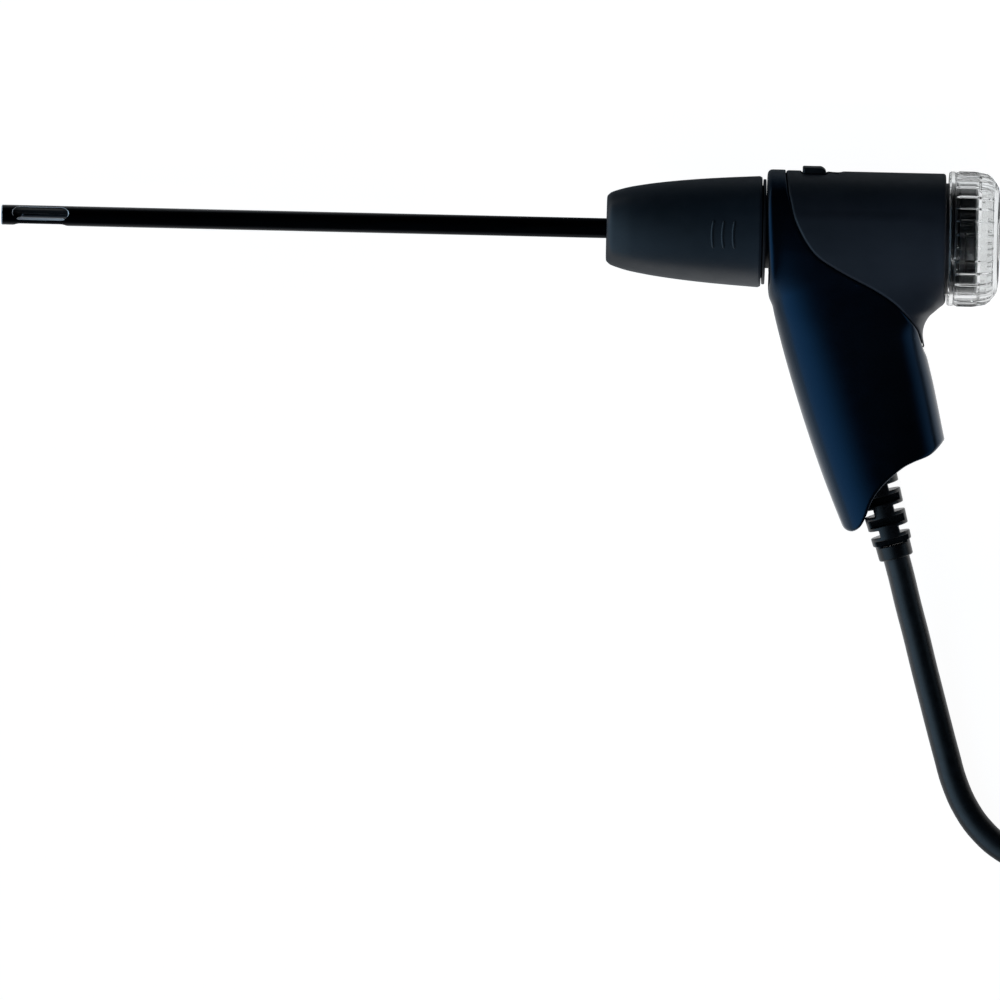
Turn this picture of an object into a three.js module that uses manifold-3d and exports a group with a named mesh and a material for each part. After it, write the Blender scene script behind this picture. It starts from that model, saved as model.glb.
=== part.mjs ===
// Pistol-grip flue gas sampling probe, lying on its side as it does on a bench.
//
// The tool is modelled upright in its own frame, in millimetres, and then laid down as a group:
//   x  along the barrel: the shaft's tip is at -x and the clear filter cap at +x
//   y  up through the grip: the latch button is at +y and the grip's nose at -y
//   z  across the grip
// x = 0 is the front face of the handle's collar, and y = z = 0 is the shaft's axis.

import * as THREE from 'three';
import { mergeVertices } from 'three/addons/utils/BufferGeometryUtils.js';
import Module from 'manifold-3d';

const wasm = await Module();
wasm.setup();

// ---------------------------------------------------------------- driving dimensions, mm

const GAP = 0.3; // between any two pieces that touch on the real probe

const SHAFT = { radius: 3.0, bore: 2.4, tip: -230.1, back: 17.0 };
const WINDOW = { front: -226.6, back: -210.0, width: 4.3, leans: [-20, 100] }; // gas windows near the tip

const CONE = { front: -48.5, back: -2.0, wall: 2.0 };
const NECK = { radius: 15.8, front: -1.7, back: -0.8 };
const SPIGOT = { radius: 10.9, back: 22.0 };

const AXIS_DROP = -0.85; // the barrel's axis lies this far from the shaft's axis, in y
const BARREL = { radius: 19.5, bore: 17.2, back: 53.0 };
const COLLAR_RADIUS = 19.65;
const WALL = 2.2; // of the grip's shells

const BUTTON = { front: 10.0, back: 17.0, halfWidth: 4.5, top: 20.1, under: 17.7 };
const BUTTON_TRAVEL = 2.2;
const SPRING = { x: 11.5, bottom: 13.1, radius: 1.2, wire: 0.25, turns: 3.5 };

const SLEEVE = { radius: 12.3, front: 3.0, back: 26.0 };
const LATCH = { front: 13.5, back: 15.0, outer: 15.7, top: 15.9 };

const SEAT = { radius: 16.6, bore: 14.4, front: 44.0, back: 61.9 };
const CAP = { radius: 20.2, bore: 17.2, front: 54.0, back: 69.3 };
const LUG = { count: 3, degrees: 10, front: 59.2, back: 61.5 };
const TWIST_DEGREES = 25;

const HOSE_RADIUS = 4.0;
const BOOT = { bore: 4.3, channel: 1.9, endRadius: 5.3, topRadius: 6.8, length: 33.0, pitch: 6.5, slot: 2.1, web: 3.1 };
const BOOT_END = new THREE.Vector2(40.9, -97.2); // where the hose leaves the boot
const BOOT_LEAN = THREE.MathUtils.degToRad(16.2); // from straight down, towards the back

// How the tool lies: on the cap's rim and the grip's cheek, rolled a little about the shaft.
const REST = { x: 80.4, y: 38.871, z: 20.199, roll: THREE.MathUtils.degToRad(4.9) };

// The hose on the bench, in the frame of the bench: z = 0 is its surface.
const COIL = { x: 220.5, y: -91.8, radius: 45.35, columns: 4, layers: 2, floor: 0.9 };
const PLUG = { x: 278.0, y: -40.0, z: 14.3 }; // the back end of the plug's boot; the plug points along +y

// ---------------------------------------------------------------- materials

const paint = (color, roughness, metalness = 0) =>
  new THREE.MeshStandardMaterial({ color, roughness, metalness });

const MATERIAL = {
  steel: paint(0x16171a, 0.35, 0.9),
  sheath: paint(0x8d9096, 0.3, 0.95),
  cone: paint(0x10151c, 0.6),
  charcoal: paint(0x181b20, 0.65),
  navy: paint(0x07101c, 0.4),
  blackPlastic: paint(0x0b0c0e, 0.5),
  rubber: paint(0x121315, 0.7),
  hose: paint(0x17181b, 0.4),
  clear: paint(0xe8eceb, 0.08),
  filter: paint(0xe9e7df, 0.9),
  silicone: paint(0xcfd2cc, 0.5),
  brass: paint(0xb08d4a, 0.35, 0.9),
  board: paint(0x1c5a38, 0.5),
  bright: paint(0xa9adb3, 0.3, 0.95),
};

// ---------------------------------------------------------------- solids

const HALF_TURN = Math.PI;
const FULL_TURN = 2 * Math.PI;
const radians = THREE.MathUtils.degToRad;

// A closed geometry as a manifold-3d solid, facing out.
function solid(geometry) {
  const bare = geometry.index ? geometry.toNonIndexed() : geometry;
  const points = new THREE.BufferGeometry().setAttribute('position', bare.getAttribute('position'));
  const merged = mergeVertices(points, 1e-4);
  const corners = [];
  for (let i = 0; i < merged.index.count; i += 3) {
    const [a, b, c] = [0, 1, 2].map((k) => merged.index.getX(i + k));
    if (a !== b && b !== c && a !== c) corners.push(a, b, c);
  }
  const build = (triangles) =>
    new wasm.Manifold(
      new wasm.Mesh({
        numProp: 3,
        vertProperties: new Float32Array(merged.attributes.position.array),
        triVerts: new Uint32Array(triangles),
      }),
    );
  const made = build(corners);
  if (made.volume() > 0) return made;
  return build(corners.reverse());
}

function geometryOf(body) {
  const mesh = body.getMesh();
  const positions = new Float32Array(mesh.numVert * 3);
  for (let i = 0; i < mesh.numVert; i++) {
    positions.set(mesh.vertProperties.subarray(i * mesh.numProp, i * mesh.numProp + 3), i * 3);
  }
  const geometry = new THREE.BufferGeometry();
  geometry.setAttribute('position', new THREE.BufferAttribute(positions, 3));
  geometry.setIndex(new THREE.BufferAttribute(new Uint32Array(mesh.triVerts), 1));
  geometry.computeVertexNormals();
  return geometry;
}

const join = (...bodies) => bodies.reduce((a, b) => a.add(b));
const cut = (body, ...tools) => tools.reduce((a, b) => a.subtract(b), body);

// A solid of revolution about an axis along x at height y. The profile is [x, radius] pairs that close on
// themselves, or start and end on the axis.
function turned(profile, sides = 40, y = 0) {
  const points = profile.map(([x, r]) => new THREE.Vector2(r, x));
  const first = profile[0];
  const last = profile[profile.length - 1];
  if (first[1] > 0 || last[1] > 0) points.push(points[0].clone());
  return solid(new THREE.LatheGeometry(points, sides).rotateZ(-HALF_TURN / 2).translate(0, y, 0));
}

// A tube or, without an inner radius, a rod along x.
function tube(from, to, outer, inner = 0, sides = 40, y = 0) {
  return turned([[from, inner], [from, outer], [to, outer], [to, inner]], sides, y);
}

function box([x0, x1], [y0, y1], [z0, z1]) {
  const block = new THREE.BoxGeometry(x1 - x0, y1 - y0, z1 - z0);
  return solid(block.translate((x0 + x1) / 2, (y0 + y1) / 2, (z0 + z1) / 2));
}

// An outline in the x-y plane, extruded across the grip from z0 to z1.
function slab(outline, z0, z1, curveSegments = 24) {
  const shape = outline instanceof THREE.Shape ? outline : new THREE.Shape(outline);
  const made = new THREE.ExtrudeGeometry(shape, { depth: z1 - z0, bevelEnabled: false, curveSegments });
  return solid(made.translate(0, 0, z0));
}

function polygon(radius, sides) {
  return Array.from({ length: sides }, (_, i) => {
    const a = (i / sides) * FULL_TURN;
    return new THREE.Vector2(radius * Math.cos(a), radius * Math.sin(a));
  });
}

// A round section swept along a curve, with a bore if it has an inner radius.
function swept(curve, radius, sides = 8, steps = 16, inner = 0) {
  const section = new THREE.Shape(polygon(radius, sides));
  if (inner > 0) section.holes.push(new THREE.Path(polygon(inner, sides)));
  return solid(new THREE.ExtrudeGeometry(section, { steps, bevelEnabled: false, extrudePath: curve }));
}

function route(points) {
  return new THREE.CatmullRomCurve3(points.map(([x, y, z]) => new THREE.Vector3(x, y, z)));
}

// A closed skin through rings of equal count, with a flat fan on each end.
function lofted(rings) {
  const count = rings[0].length;
  const positions = rings.flat().flatMap((p) => [p.x, p.y, p.z]);
  const index = [];
  for (let k = 0; k + 1 < rings.length; k++) {
    for (let i = 0; i < count; i++) {
      const [a, b] = [k * count + i, k * count + ((i + 1) % count)];
      index.push(a, b, b + count, a, b + count, a + count);
    }
  }
  for (const [ring, flip] of [[0, true], [rings.length - 1, false]]) {
    const base = ring * count;
    for (let i = 1; i + 1 < count; i++) {
      index.push(base, base + (flip ? i + 1 : i), base + (flip ? i : i + 1));
    }
  }
  const geometry = new THREE.BufferGeometry();
  geometry.setAttribute('position', new THREE.Float32BufferAttribute(positions, 3));
  geometry.setIndex(index);
  return solid(geometry);
}

// A smooth curve value = f(y) through a few [y, value] pairs, listed from the top down.
function smooth(pairs, y) {
  const last = pairs.length - 1;
  if (y >= pairs[0][0]) return pairs[0][1];
  if (y <= pairs[last][0]) return pairs[last][1];
  const k = pairs.findIndex(([level]) => level < y) - 1;
  const slope = (i) => {
    const [a, b] = [pairs[Math.max(i - 1, 0)], pairs[Math.min(i + 1, last)]];
    return (b[1] - a[1]) / (b[0] - a[0]);
  };
  const [[y0, v0], [y1, v1]] = [pairs[k], pairs[k + 1]];
  const span = y1 - y0;
  const t = (y - y0) / span;
  const [t2, t3] = [t * t, t * t * t];
  return (
    (2 * t3 - 3 * t2 + 1) * v0 + (t3 - 2 * t2 + t) * span * slope(k) +
    (3 * t2 - 2 * t3) * v1 + (t3 - t2) * span * slope(k + 1)
  );
}

// ---------------------------------------------------------------- the handle's outer form

const GRIP_TOP = 6;
const GRIP_BOTTOM = -92;
// Front edge, back edge and half width of the grip against height, and how square its section is.
const GRIP_FRONT = [
  [20, -0.5], [6, -0.4], [-4, 0.1], [-19, 1.3], [-31, 4.1], [-49, 9.6], [-67, 15.9], [-92, 25.6],
];
const GRIP_BACK = [
  [6, 52.9], [-18.5, 52.9], [-21.5, 51.6], [-24.2, 48.9], [-27.4, 47.4], [-31, 47.3], [-45, 50.8], [-60, 54.2],
  [-92, 61.5],
];
const GRIP_HALF_WIDTH = [
  [6, 17.6], [-4, 18.9], [-8, 18.2], [-12, 17.1], [-17, 16.1], [-24, 15.5], [-45, 15.0], [-75, 13.9], [-92, 12.4],
];
const GRIP_SQUARENESS = [[6, 6], [-10, 5], [-20, 3.6], [-32, 2.7], [-92, 2.5]];

// The grip as a stack of rounded sections, inset from the outer surface by inset.
function gripForm(inset, bottom = GRIP_BOTTOM, levels = 17, around = 28) {
  const rings = [];
  for (let k = 0; k <= levels; k++) {
    const y = bottom + ((GRIP_TOP - bottom) * k) / levels;
    const [front, back] = [smooth(GRIP_FRONT, y) + inset, smooth(GRIP_BACK, y) - inset];
    const half = smooth(GRIP_HALF_WIDTH, y) - inset;
    const power = 2 / smooth(GRIP_SQUARENESS, y);
    const bend = (v) => Math.sign(v) * Math.abs(v) ** power;
    rings.push(
      Array.from({ length: around }, (_, i) => {
        const a = (i / around) * FULL_TURN;
        const x = (front + back) / 2 + ((back - front) / 2) * bend(Math.cos(a));
        return new THREE.Vector3(x, y, half * bend(Math.sin(a)));
      }),
    );
  }
  return lofted(rings);
}

const WIDE = 30; // half the depth of a cutting slab, wider than the handle
const vectors = (pairs) => pairs.map(([x, y]) => new THREE.Vector2(x, y));

// The seam between the charcoal barrel and the navy grip, from the collar's top to the back of the neck.
const SEAM = [
  [4.9, 30], [4.9, 17.7], [5.5, 12.7], [8.0, 3.9], [13.6, -5.0], [21.7, -10.5], [31.8, -15.8], [38.8, -20.5],
  [44.5, -26.7], [46.4, -31.1], [47.8, -35.0], [50.5, -39.0],
];

function seamRegion(side, shift) {
  const line = SEAM.map(([x, y]) => [x + shift, y + shift]);
  const outline = new THREE.Shape();
  outline.moveTo(...line[0]);
  outline.lineTo(...line[1]);
  outline.splineThru(vectors(line.slice(2)));
  const [x, y] = line[line.length - 1];
  const above = [[80, y], [80, 30 + shift]];
  const below = [[80, y], [80, -120], [-20, -120], [-20, 30 + shift]];
  const corners = side === 'barrel' ? above : below;
  for (const corner of corners) outline.lineTo(...corner);
  outline.closePath();
  return slab(outline, -WIDE, WIDE, 3);
}

// What is cut away below the grip's open foot: the curve from its heel round to the nose.
function footCut() {
  const outline = new THREE.Shape();
  outline.moveTo(70, -60.8);
  outline.lineTo(54.1, -61.6);
  outline.splineThru(
    vectors([
      [50.1, -65.2], [45.0, -67.4], [41.3, -69.6], [36.3, -74.3], [33.0, -79.2], [31.2, -84.2], [29.6, -87.4],
      [27.2, -89.0], [24.8, -88.4], [23.4, -86.0],
    ]),
  );
  outline.lineTo(20, -95);
  outline.lineTo(70, -95);
  outline.closePath();
  return slab(outline, -WIDE, WIDE, 2);
}

// What is in front of the collar's bowed front edge.
function frontCut() {
  const edge = [30, 12, 0, -10, -19, -24].map((y) => [smooth(GRIP_FRONT, y), y]);
  return slab(vectors([...edge, [-10, -24], [-10, 30]]), -WIDE, WIDE);
}

function handleForm(radius, barrelFrom) {
  const barrel = tube(barrelFrom, BARREL.back, radius, 0, 40, AXIS_DROP);
  return join(cut(barrel, frontCut()), gripForm(0));
}

function handleHollow() {
  const grip = gripForm(WALL, -97, 13, 20);
  return join(tube(-20, 90, BARREL.bore, 0, 36, AXIS_DROP), grip);
}

const HOLLOW = handleHollow();

// ---------------------------------------------------------------- grip shells

const SCREWS = [[8.5, -27.0], [41.5, -33.5], [21.5, -62.0], [46.5, -57.0]];
const SCREW = { radius: 1.25, head: 2.4, headFrom: -12.4, headTo: -10.6, tip: 8.5 };

function across(x, y, z0, z1, radius, sides = 16) {
  const rod = new THREE.CylinderGeometry(radius, radius, z1 - z0, sides).rotateX(HALF_TURN / 2);
  return solid(rod.translate(x, y, (z0 + z1) / 2));
}

function gripShell(side) {
  const outer = cut(handleForm(COLLAR_RADIUS, -3), footCut()).intersect(seamRegion('grip', 0));
  const depth = side > 0 ? [GAP / 2, WIDE] : [-WIDE, -GAP / 2];
  const half = box([-20, 90], [-120, 40], depth);
  const skin = outer.intersect(half);
  let shell = skin.subtract(HOLLOW);
  for (const [x, y] of SCREWS) {
    const post = side > 0 ? across(x, y, GAP / 2, WIDE, 2.9) : across(x, y, -WIDE, -GAP / 2, 3.6);
    shell = join(shell, post.intersect(skin));
  }
  for (const [x, y] of SCREWS) {
    const bore = SCREW.radius + GAP;
    if (side > 0) shell = shell.subtract(across(x, y, -1, SCREW.tip + 1, bore));
    else {
      const sink = across(x, y, -WIDE, SCREW.headTo + GAP, SCREW.head + GAP);
      shell = cut(shell, across(x, y, -WIDE, 1, bore), sink);
    }
  }
  return shell;
}

function gripScrew(x, y) {
  const head = across(x, y, SCREW.headFrom, SCREW.headTo, SCREW.head);
  const slot = box([x - 1.6, x + 1.6], [y - 0.3, y + 0.3], [SCREW.headFrom - 1, SCREW.headFrom + 0.9]);
  const slotAcross = box([x - 0.3, x + 0.3], [y - 1.6, y + 1.6], [SCREW.headFrom - 1, SCREW.headFrom + 0.9]);
  return cut(join(head, across(x, y, SCREW.headTo - 0.5, SCREW.tip, SCREW.radius, 12)), slot, slotAcross);
}

// ---------------------------------------------------------------- barrel

function buttonBlock(grow, bottom, top) {
  return box(
    [BUTTON.front - grow, BUTTON.back + grow],
    [bottom, top],
    [-BUTTON.halfWidth - grow, BUTTON.halfWidth + grow],
  );
}

function barrelShell() {
  const outer = handleForm(BARREL.radius, 0).intersect(seamRegion('barrel', 0.25));
  const thumbDip = turned([[8, 0], [8.0, 0.01], [21, 5.6], [23, 0]], 24, 21.4);
  return cut(outer, HOLLOW, buttonBlock(GAP, 10, 30), thumbDip);
}

function socketSleeve() {
  const { radius, front, back } = SLEEVE;
  const flange = tube(2.4, 4.4, BARREL.bore - GAP, 0, 32, AXIS_DROP);
  const sleeve = tube(front, back, radius, 0, 32);
  const bulkhead = tube(24.5, 26.5, BARREL.bore - GAP, 0, 32, AXIS_DROP);
  const springPad = box([9.6, 13.2], [SPIGOT.radius + 0.6, SPRING.bottom - GAP], [-1.8, 1.8]);
  const bore = tube(-1, 24, SPIGOT.radius + 0.35, 0, 28);
  const toothSlot = box([LATCH.front - GAP, LATCH.back + GAP], [-20, -8], [-2.9, 2.9]);
  return cut(join(flange, sleeve, bulkhead, springPad), bore, toothSlot, tube(20, 30, 4.4, 0, 20));
}

function latchButton() {
  const body = buttonBlock(0, BUTTON.under, BUTTON.top);
  const stem = box([LATCH.front, LATCH.back], [LATCH.top + GAP, BUTTON.under + 0.5], [-2.4, 2.4]);
  const bevel = slab(vectors([[15.2, 20.4], [17.3, 18.6], [17.3, 21], [15.2, 21]]), -WIDE, WIDE);
  const shoulder = slab(vectors([[9.8, 19.6], [10.4, 20.3], [9.8, 20.3]]), -WIDE, WIDE);
  return cut(join(body, stem), bevel, shoulder);
}

// A ring round the socket sleeve. The button pushes it down, and the spring lifts its tooth into the
// spigot's groove. The tooth stops just clear of the groove, so that the module slides at any time.
function latchRing() {
  const middle = LATCH.top - LATCH.outer;
  const plate = tube(LATCH.front, LATCH.back, LATCH.outer, 0, 32, middle);
  const hole = tube(0, 30, SLEEVE.radius + GAP + BUTTON_TRAVEL / 2, 0, 32, BUTTON_TRAVEL / 2);
  const tooth = box([LATCH.front, LATCH.back], [-SLEEVE.radius - 1.6, -SPIGOT.radius - 0.4], [-2.6, 2.6]);
  return join(cut(plate, hole), tooth);
}

function latchSpring() {
  const { x, bottom, radius, wire, turns } = SPRING;
  const rise = BUTTON.under - GAP - bottom - 2 * wire;
  class Helix extends THREE.Curve {
    getPoint(t, target = new THREE.Vector3()) {
      const a = t * turns * FULL_TURN;
      return target.set(x + radius * Math.cos(a), bottom + wire + rise * t, radius * Math.sin(a));
    }
  }
  return swept(new Helix(), wire, 5, Math.round(turns * 8));
}

// ---------------------------------------------------------------- probe module

const CONE_PROFILE = [
  [-48.5, 9.6], [-47.9, 10.3], [-46.7, 11.1], [-42.9, 12.3], [-39.4, 13.05], [-34.0, 13.95], [-26.8, 14.85],
  [-19.6, 15.55], [-12.4, 16.1], [-2.8, 16.7], [-2.0, 16.3],
];

// Three raised, slightly bowed ribs on the side of the cone, for the fingers that pull the module out.
const RIBS = { xs: [-16.9, -13.8, -10.6], height: 8.6, width: 0.9, bow: 0.5, proud: 0.35 };

function coneRib(x) {
  const outline = new THREE.Shape();
  const half = RIBS.height / 2;
  outline.moveTo(x, half);
  outline.quadraticCurveTo(x - 2 * RIBS.bow, 0, x, -half);
  outline.lineTo(x + RIBS.width, -half);
  outline.quadraticCurveTo(x + RIBS.width - 2 * RIBS.bow, 0, x + RIBS.width, half);
  outline.closePath();
  const lifted = CONE_PROFILE.filter(([at]) => at > -30 && at < CONE.back).map(([at, r]) => [at, r + RIBS.proud]);
  const skin = turned([[lifted[0][0], 0], ...lifted, [-2.8, 0]], 36);
  const side = slab(outline, 8, WIDE, 3);
  return side.intersect(skin);
}

function coneShell() {
  const outer = turned([[CONE.front, 0], ...CONE_PROFILE, [CONE.back, 0]], 36);
  const inside = CONE_PROFILE.filter(([at], i) => i % 2 && at > -45 && at < CONE.back);
  const inner = inside.map(([at, r]) => [at, r - CONE.wall]);
  const hollow = turned([[-44.5, 0], [-44.5, 9.6], ...inner, [0, 14.4], [0, 0]], 28);
  const boss = tube(-47, -38, 6.4, 0, 24);
  return cut(join(outer.subtract(hollow), ...RIBS.xs.map(coneRib), boss), tube(-60, 0, 4.6, 0, 24));
}

function shaftGland() {
  return turned([[-48.2, SHAFT.radius + 0.2], [-48.2, 4.3], [-40, 4.3], [-40, SHAFT.radius + 0.2]], 24);
}

function moduleSpigot() {
  const profile = [
    [-37.0, SHAFT.radius + GAP], [-37.0, 6.0], [-8.0, 6.0], [-8.0, 13.9], [NECK.front, 13.9],
    [NECK.front, NECK.radius], [NECK.back, NECK.radius],
    [NECK.back, SPIGOT.radius], [5.0, SPIGOT.radius], [5.0, 9.5], [7.0, 9.5], [7.0, SPIGOT.radius],
    [12.8, SPIGOT.radius], [12.8, 9.4], [16.6, 9.4], [16.6, SPIGOT.radius],
    [18.4, SPIGOT.radius], [18.4, 9.5], [20.4, 9.5],
    [20.4, SPIGOT.radius], [SPIGOT.back, SPIGOT.radius - 0.8], [SPIGOT.back, SHAFT.radius + GAP],
  ];
  return turned(profile, 28);
}

function ring(x, major, minor, y = 0, around = 24) {
  return solid(new THREE.TorusGeometry(major, minor, 6, around).rotateY(HALF_TURN / 2).translate(x, y, 0));
}

function probeShaft() {
  const { radius, bore, tip, back } = SHAFT;
  const body = turned(
    [
      [tip, 0], [tip, 2.1], [tip + 0.35, 2.75], [tip + 0.9, radius], [back, radius], [back, bore],
      [WINDOW.front - 0.6, bore], [WINDOW.front - 0.6, 0],
    ],
    24,
  );
  const windows = WINDOW.leans.map((lean) => {
    const half = WINDOW.width / 2;
    const slot = new THREE.Shape();
    slot.absarc(WINDOW.front + half, 0, half, HALF_TURN / 2, 1.5 * HALF_TURN);
    slot.absarc(WINDOW.back - half, 0, half, -HALF_TURN / 2, HALF_TURN / 2);
    const cutter = new THREE.ExtrudeGeometry(slot, { depth: 6, bevelEnabled: false, curveSegments: 5 });
    return solid(cutter.rotateX(radians(lean)));
  });
  return cut(body, ...windows);
}

function thermocouple() {
  return turned([[-224.2, 0], [-224.2, 0.35], [-223.7, 0.75], [20.5, 0.75], [20.5, 0]], 12);
}

function thermocoupleGuide() {
  const disc = tube(-206, -204, SHAFT.bore - 0.15, 0, 20);
  const lobes = [0, 1, 2].map((i) => {
    const a = (i * FULL_TURN) / 3;
    return tube(-207, -203, 0.55, 0, 8).translate([0, 1.7 * Math.cos(a), 1.7 * Math.sin(a)]);
  });
  return cut(disc, tube(-207, -203, 0.9, 0, 12), ...lobes);
}

function thermocoupleHead() {
  return turned(
    [[17.4, 1.0], [17.4, 2.6], [23.2, 2.6], [23.2, 3.6], [24.6, 3.6], [24.6, 0], [20.9, 0], [20.9, 1.0]],
    14,
  );
}

function contactPin(z) {
  return tube(24.9, 31.0, 0.6, 0, 10).translate([0, 0, z]);
}

// ---------------------------------------------------------------- gas path inside the handle

function contactBlock() {
  const body = box([27.2, 33.0], [-4.2, 4.2], [-6.0, 6.0]);
  const bores = [-1.8, 1.8].map((z) => tube(26, 31.8, 0.95, 0, 10).translate([0, 0, z]));
  return cut(body, ...bores);
}

function gasBlock() {
  const body = box([34.0, 43.2], [-12.6, 7.0], [-9.0, 9.0]);
  const inlet = tube(33, 39, 2.0, 0, 16).translate([0, 0, 6.0]);
  const nipple = solid(new THREE.CylinderGeometry(2.0, 2.4, 5, 16).translate(38.6, -14.8, 0));
  const bore = solid(new THREE.CylinderGeometry(1.2, 1.2, 12, 12).translate(38.6, -14.5, 0));
  return cut(join(body, nipple), inlet, bore);
}

function filterSeat() {
  const { radius, bore, front, back } = SEAT;
  const body = turned(
    [
      [front, 2.2], [front, BARREL.bore - GAP], [50.4, BARREL.bore - GAP], [50.4, radius], [55.4, radius],
      [55.4, 15.3], [57.2, 15.3], [57.2, radius],
      [back, radius], [back, bore], [49.0, bore], [49.0, 2.2],
    ],
    32,
    AXIS_DROP,
  );
  const spread = LUG.degrees + TWIST_DEGREES + 4;
  const notches = Array.from({ length: LUG.count }, (_, i) => {
    const middle = (i * 360) / LUG.count - TWIST_DEGREES / 2;
    return sector(LUG.front - GAP, back + 1, 13, 18, middle - spread / 2, middle + spread / 2);
  });
  return cut(body, ...notches);
}

// A piece of a ring about the barrel's axis, from one angle to the other in degrees; 0 is +z and 90 is +y.
function sector(x0, x1, inner, outer, from, to) {
  const shape = new THREE.Shape();
  shape.absarc(0, 0, outer, radians(from), radians(to), false);
  shape.absarc(0, 0, inner, radians(to), radians(from), true);
  shape.closePath();
  const made = new THREE.ExtrudeGeometry(shape, { depth: x1 - x0, bevelEnabled: false, curveSegments: 5 });
  const [x, y, z] = [new THREE.Vector3(1, 0, 0), new THREE.Vector3(0, 1, 0), new THREE.Vector3(0, 0, 1)];
  made.applyMatrix4(new THREE.Matrix4().makeBasis(z, y, x));
  return solid(made.translate(x0, AXIS_DROP, 0));
}

function filterDisc() {
  return turned([[53.0, 0], [53.0, 13.6], [61.4, 13.6], [62.4, 12.6], [62.4, 0]], 28, AXIS_DROP);
}

function filterHolder() {
  return turned(
    [[49.4, 10.0], [49.4, 13.9], [52.6, 13.9], [52.6, 3.0], [51.2, 3.0], [51.2, 10.0]],
    28,
    AXIS_DROP,
  );
}

function filterCap() {
  const { radius, bore, front, back } = CAP;
  const outside = turned(
    [
      [front, 0], [front, radius - 0.4], [front + 0.5, radius], [61.5, radius], [63.2, 19.7], [65.5, 19.2],
      [67.0, 18.4], [68.2, 17.1], [69.0, 15.7], [back, 14.6], [back, 0],
    ],
    36,
    AXIS_DROP,
  );
  const chamber = turned(
    [[front - 1, 0], [front - 1, bore], [62.6, bore], [63.4, 16.4], [66.4, 15.6], [67.2, 14.4], [67.2, 0]],
    32,
    AXIS_DROP,
  );
  const lugs = Array.from({ length: LUG.count }, (_, i) => {
    const middle = (i * 360) / LUG.count;
    const [from, to] = [middle - LUG.degrees / 2, middle + LUG.degrees / 2];
    return sector(LUG.front, LUG.back, SEAT.bore + 0.5, bore + 0.6, from, to);
  });
  return join(cut(outside, chamber), ...lugs);
}

// ---------------------------------------------------------------- in the grip

// The boot's own frame: u runs out along the hose, from the boot's inner end at 0.
const BOOT_WAY = new THREE.Vector2(Math.sin(BOOT_LEAN), -Math.cos(BOOT_LEAN));

function alongBoot(body) {
  const back = BOOT_END.clone().addScaledVector(BOOT_WAY, -BOOT.length);
  return body.rotate([0, 0, -90 + (BOOT_LEAN * 180) / HALF_TURN]).translate([back.x, back.y, 0]);
}

function strainBoot() {
  const { bore, channel, endRadius, topRadius, length, pitch, slot, web } = BOOT;
  const collar = length - 4.2;
  const body = turned(
    [
      [0, channel], [0, 8.2], [2.2, 8.2], [2.2, 5.2], [4.6, 5.2], [4.6, topRadius], [collar, topRadius - 0.9],
      [collar, endRadius], [length - 0.6, endRadius - 0.1], [length, endRadius - 0.6], [length, bore],
      [length - 4.3, bore], [length - 4.3, channel],
    ],
    20,
  );
  const cuts = [];
  for (let k = 0; k < 3; k++) {
    const front = collar - k * pitch;
    const side = front - pitch / 2;
    cuts.push(box([side - slot, side], [web, 9], [-9, 9]), box([side - slot, side], [-9, -web], [-9, 9]));
    cuts.push(box([front - slot, front], [-9, 9], [web, 9]), box([front - slot, front], [-9, 9], [-9, -web]));
  }
  return alongBoot(cut(body, ...cuts));
}

function gripFloor() {
  const plate = alongBoot(join(box([2.6, 4.2], [-40, 40], [-WIDE, WIDE])));
  const hole = alongBoot(tube(0, 8, 5.5, 0, 24));
  return cut(plate.intersect(gripForm(WALL + GAP, -95, 12, 20)), hole);
}

function hoseBarb() {
  return alongBoot(
    turned(
      [
        [-9.0, 1.2], [-9.0, 2.2], [-7.0, 3.0], [-7.0, 2.4], [-5.0, 3.0], [-5.0, 2.4], [-2.6, 2.4], [-2.6, 5.6],
        [-0.4, 5.6], [-0.4, 1.2],
      ],
      20,
    ),
  );
}

function gasTube() {
  const end = BOOT_END.clone().addScaledVector(BOOT_WAY, -BOOT.length - 10.4);
  const points = [[38.6, -18.2, 0], [36.8, -25, 0.3], [33.2, -34.5, 0.8], [30.2, -46, 0.5], [end.x, end.y, 0]];
  return swept(route(points), 2.4, 8, 9, 1.3);
}

function draftTube() {
  const points = [[31.5, -20, 5.5], [29, -30, 6.2], [25, -42, 6.4], [24.5, -54, 5.6], [26.2, -59.5, 4.2]];
  return swept(route(points), 1.6, 8, 8);
}

function probeLead() {
  return swept(route([[30, -4.6, -3.5], [30, -9, -4.2], [30, -15, -5.4], [30, -20.2, -5.8]]), 1.2, 8, 4);
}

function handleLead() {
  const points = [[30, -25.6, -5.8], [29, -34, -5.6], [26.5, -44, -5.2], [25.2, -52, -4.6], [26, -58.5, -3.8]];
  return swept(route(points), 1.2, 8, 7);
}

function probeBoard() {
  return box([15.5, 34.0], [-42.0, -20.0], [-9.2, -7.6]);
}

function boardSocket() {
  return box([27.0, 33.0], [-25.3, -20.5], [-7.3, -4.3]);
}

// ---------------------------------------------------------------- hose and plug on the bench

const benchPoint = (x, y) => [
  x + REST.x,
  y * Math.cos(REST.roll) + REST.y,
  y * Math.sin(REST.roll) + REST.z,
];

// Out of the boot, down to the bench, round to the coil.
const HOSE_RUN = [
  benchPoint(BOOT_END.x, BOOT_END.y),
  [122.9, -63.5, 11.3],
  [125.2, -72.1, 10.1],
  [127.8, -81.1, 8.5],
  [130.2, -90.0, 6.9],
  [132.7, -98.9, 5.6],
  [135.2, -107.8, 4.8],
  [137.8, -116.8, 4.4],
  [140.4, -125.2, 4.3],
  [144.3, -133.3, 4.3],
  [149.4, -139.9, 4.3],
  [155.6, -144.9, 4.4],
  [163.0, -148.2, 4.5],
  [172.0, -149.3, 4.6],
  [180.5, -149.3, 4.8],
  [189.0, -149.3, 4.9],
];

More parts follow.
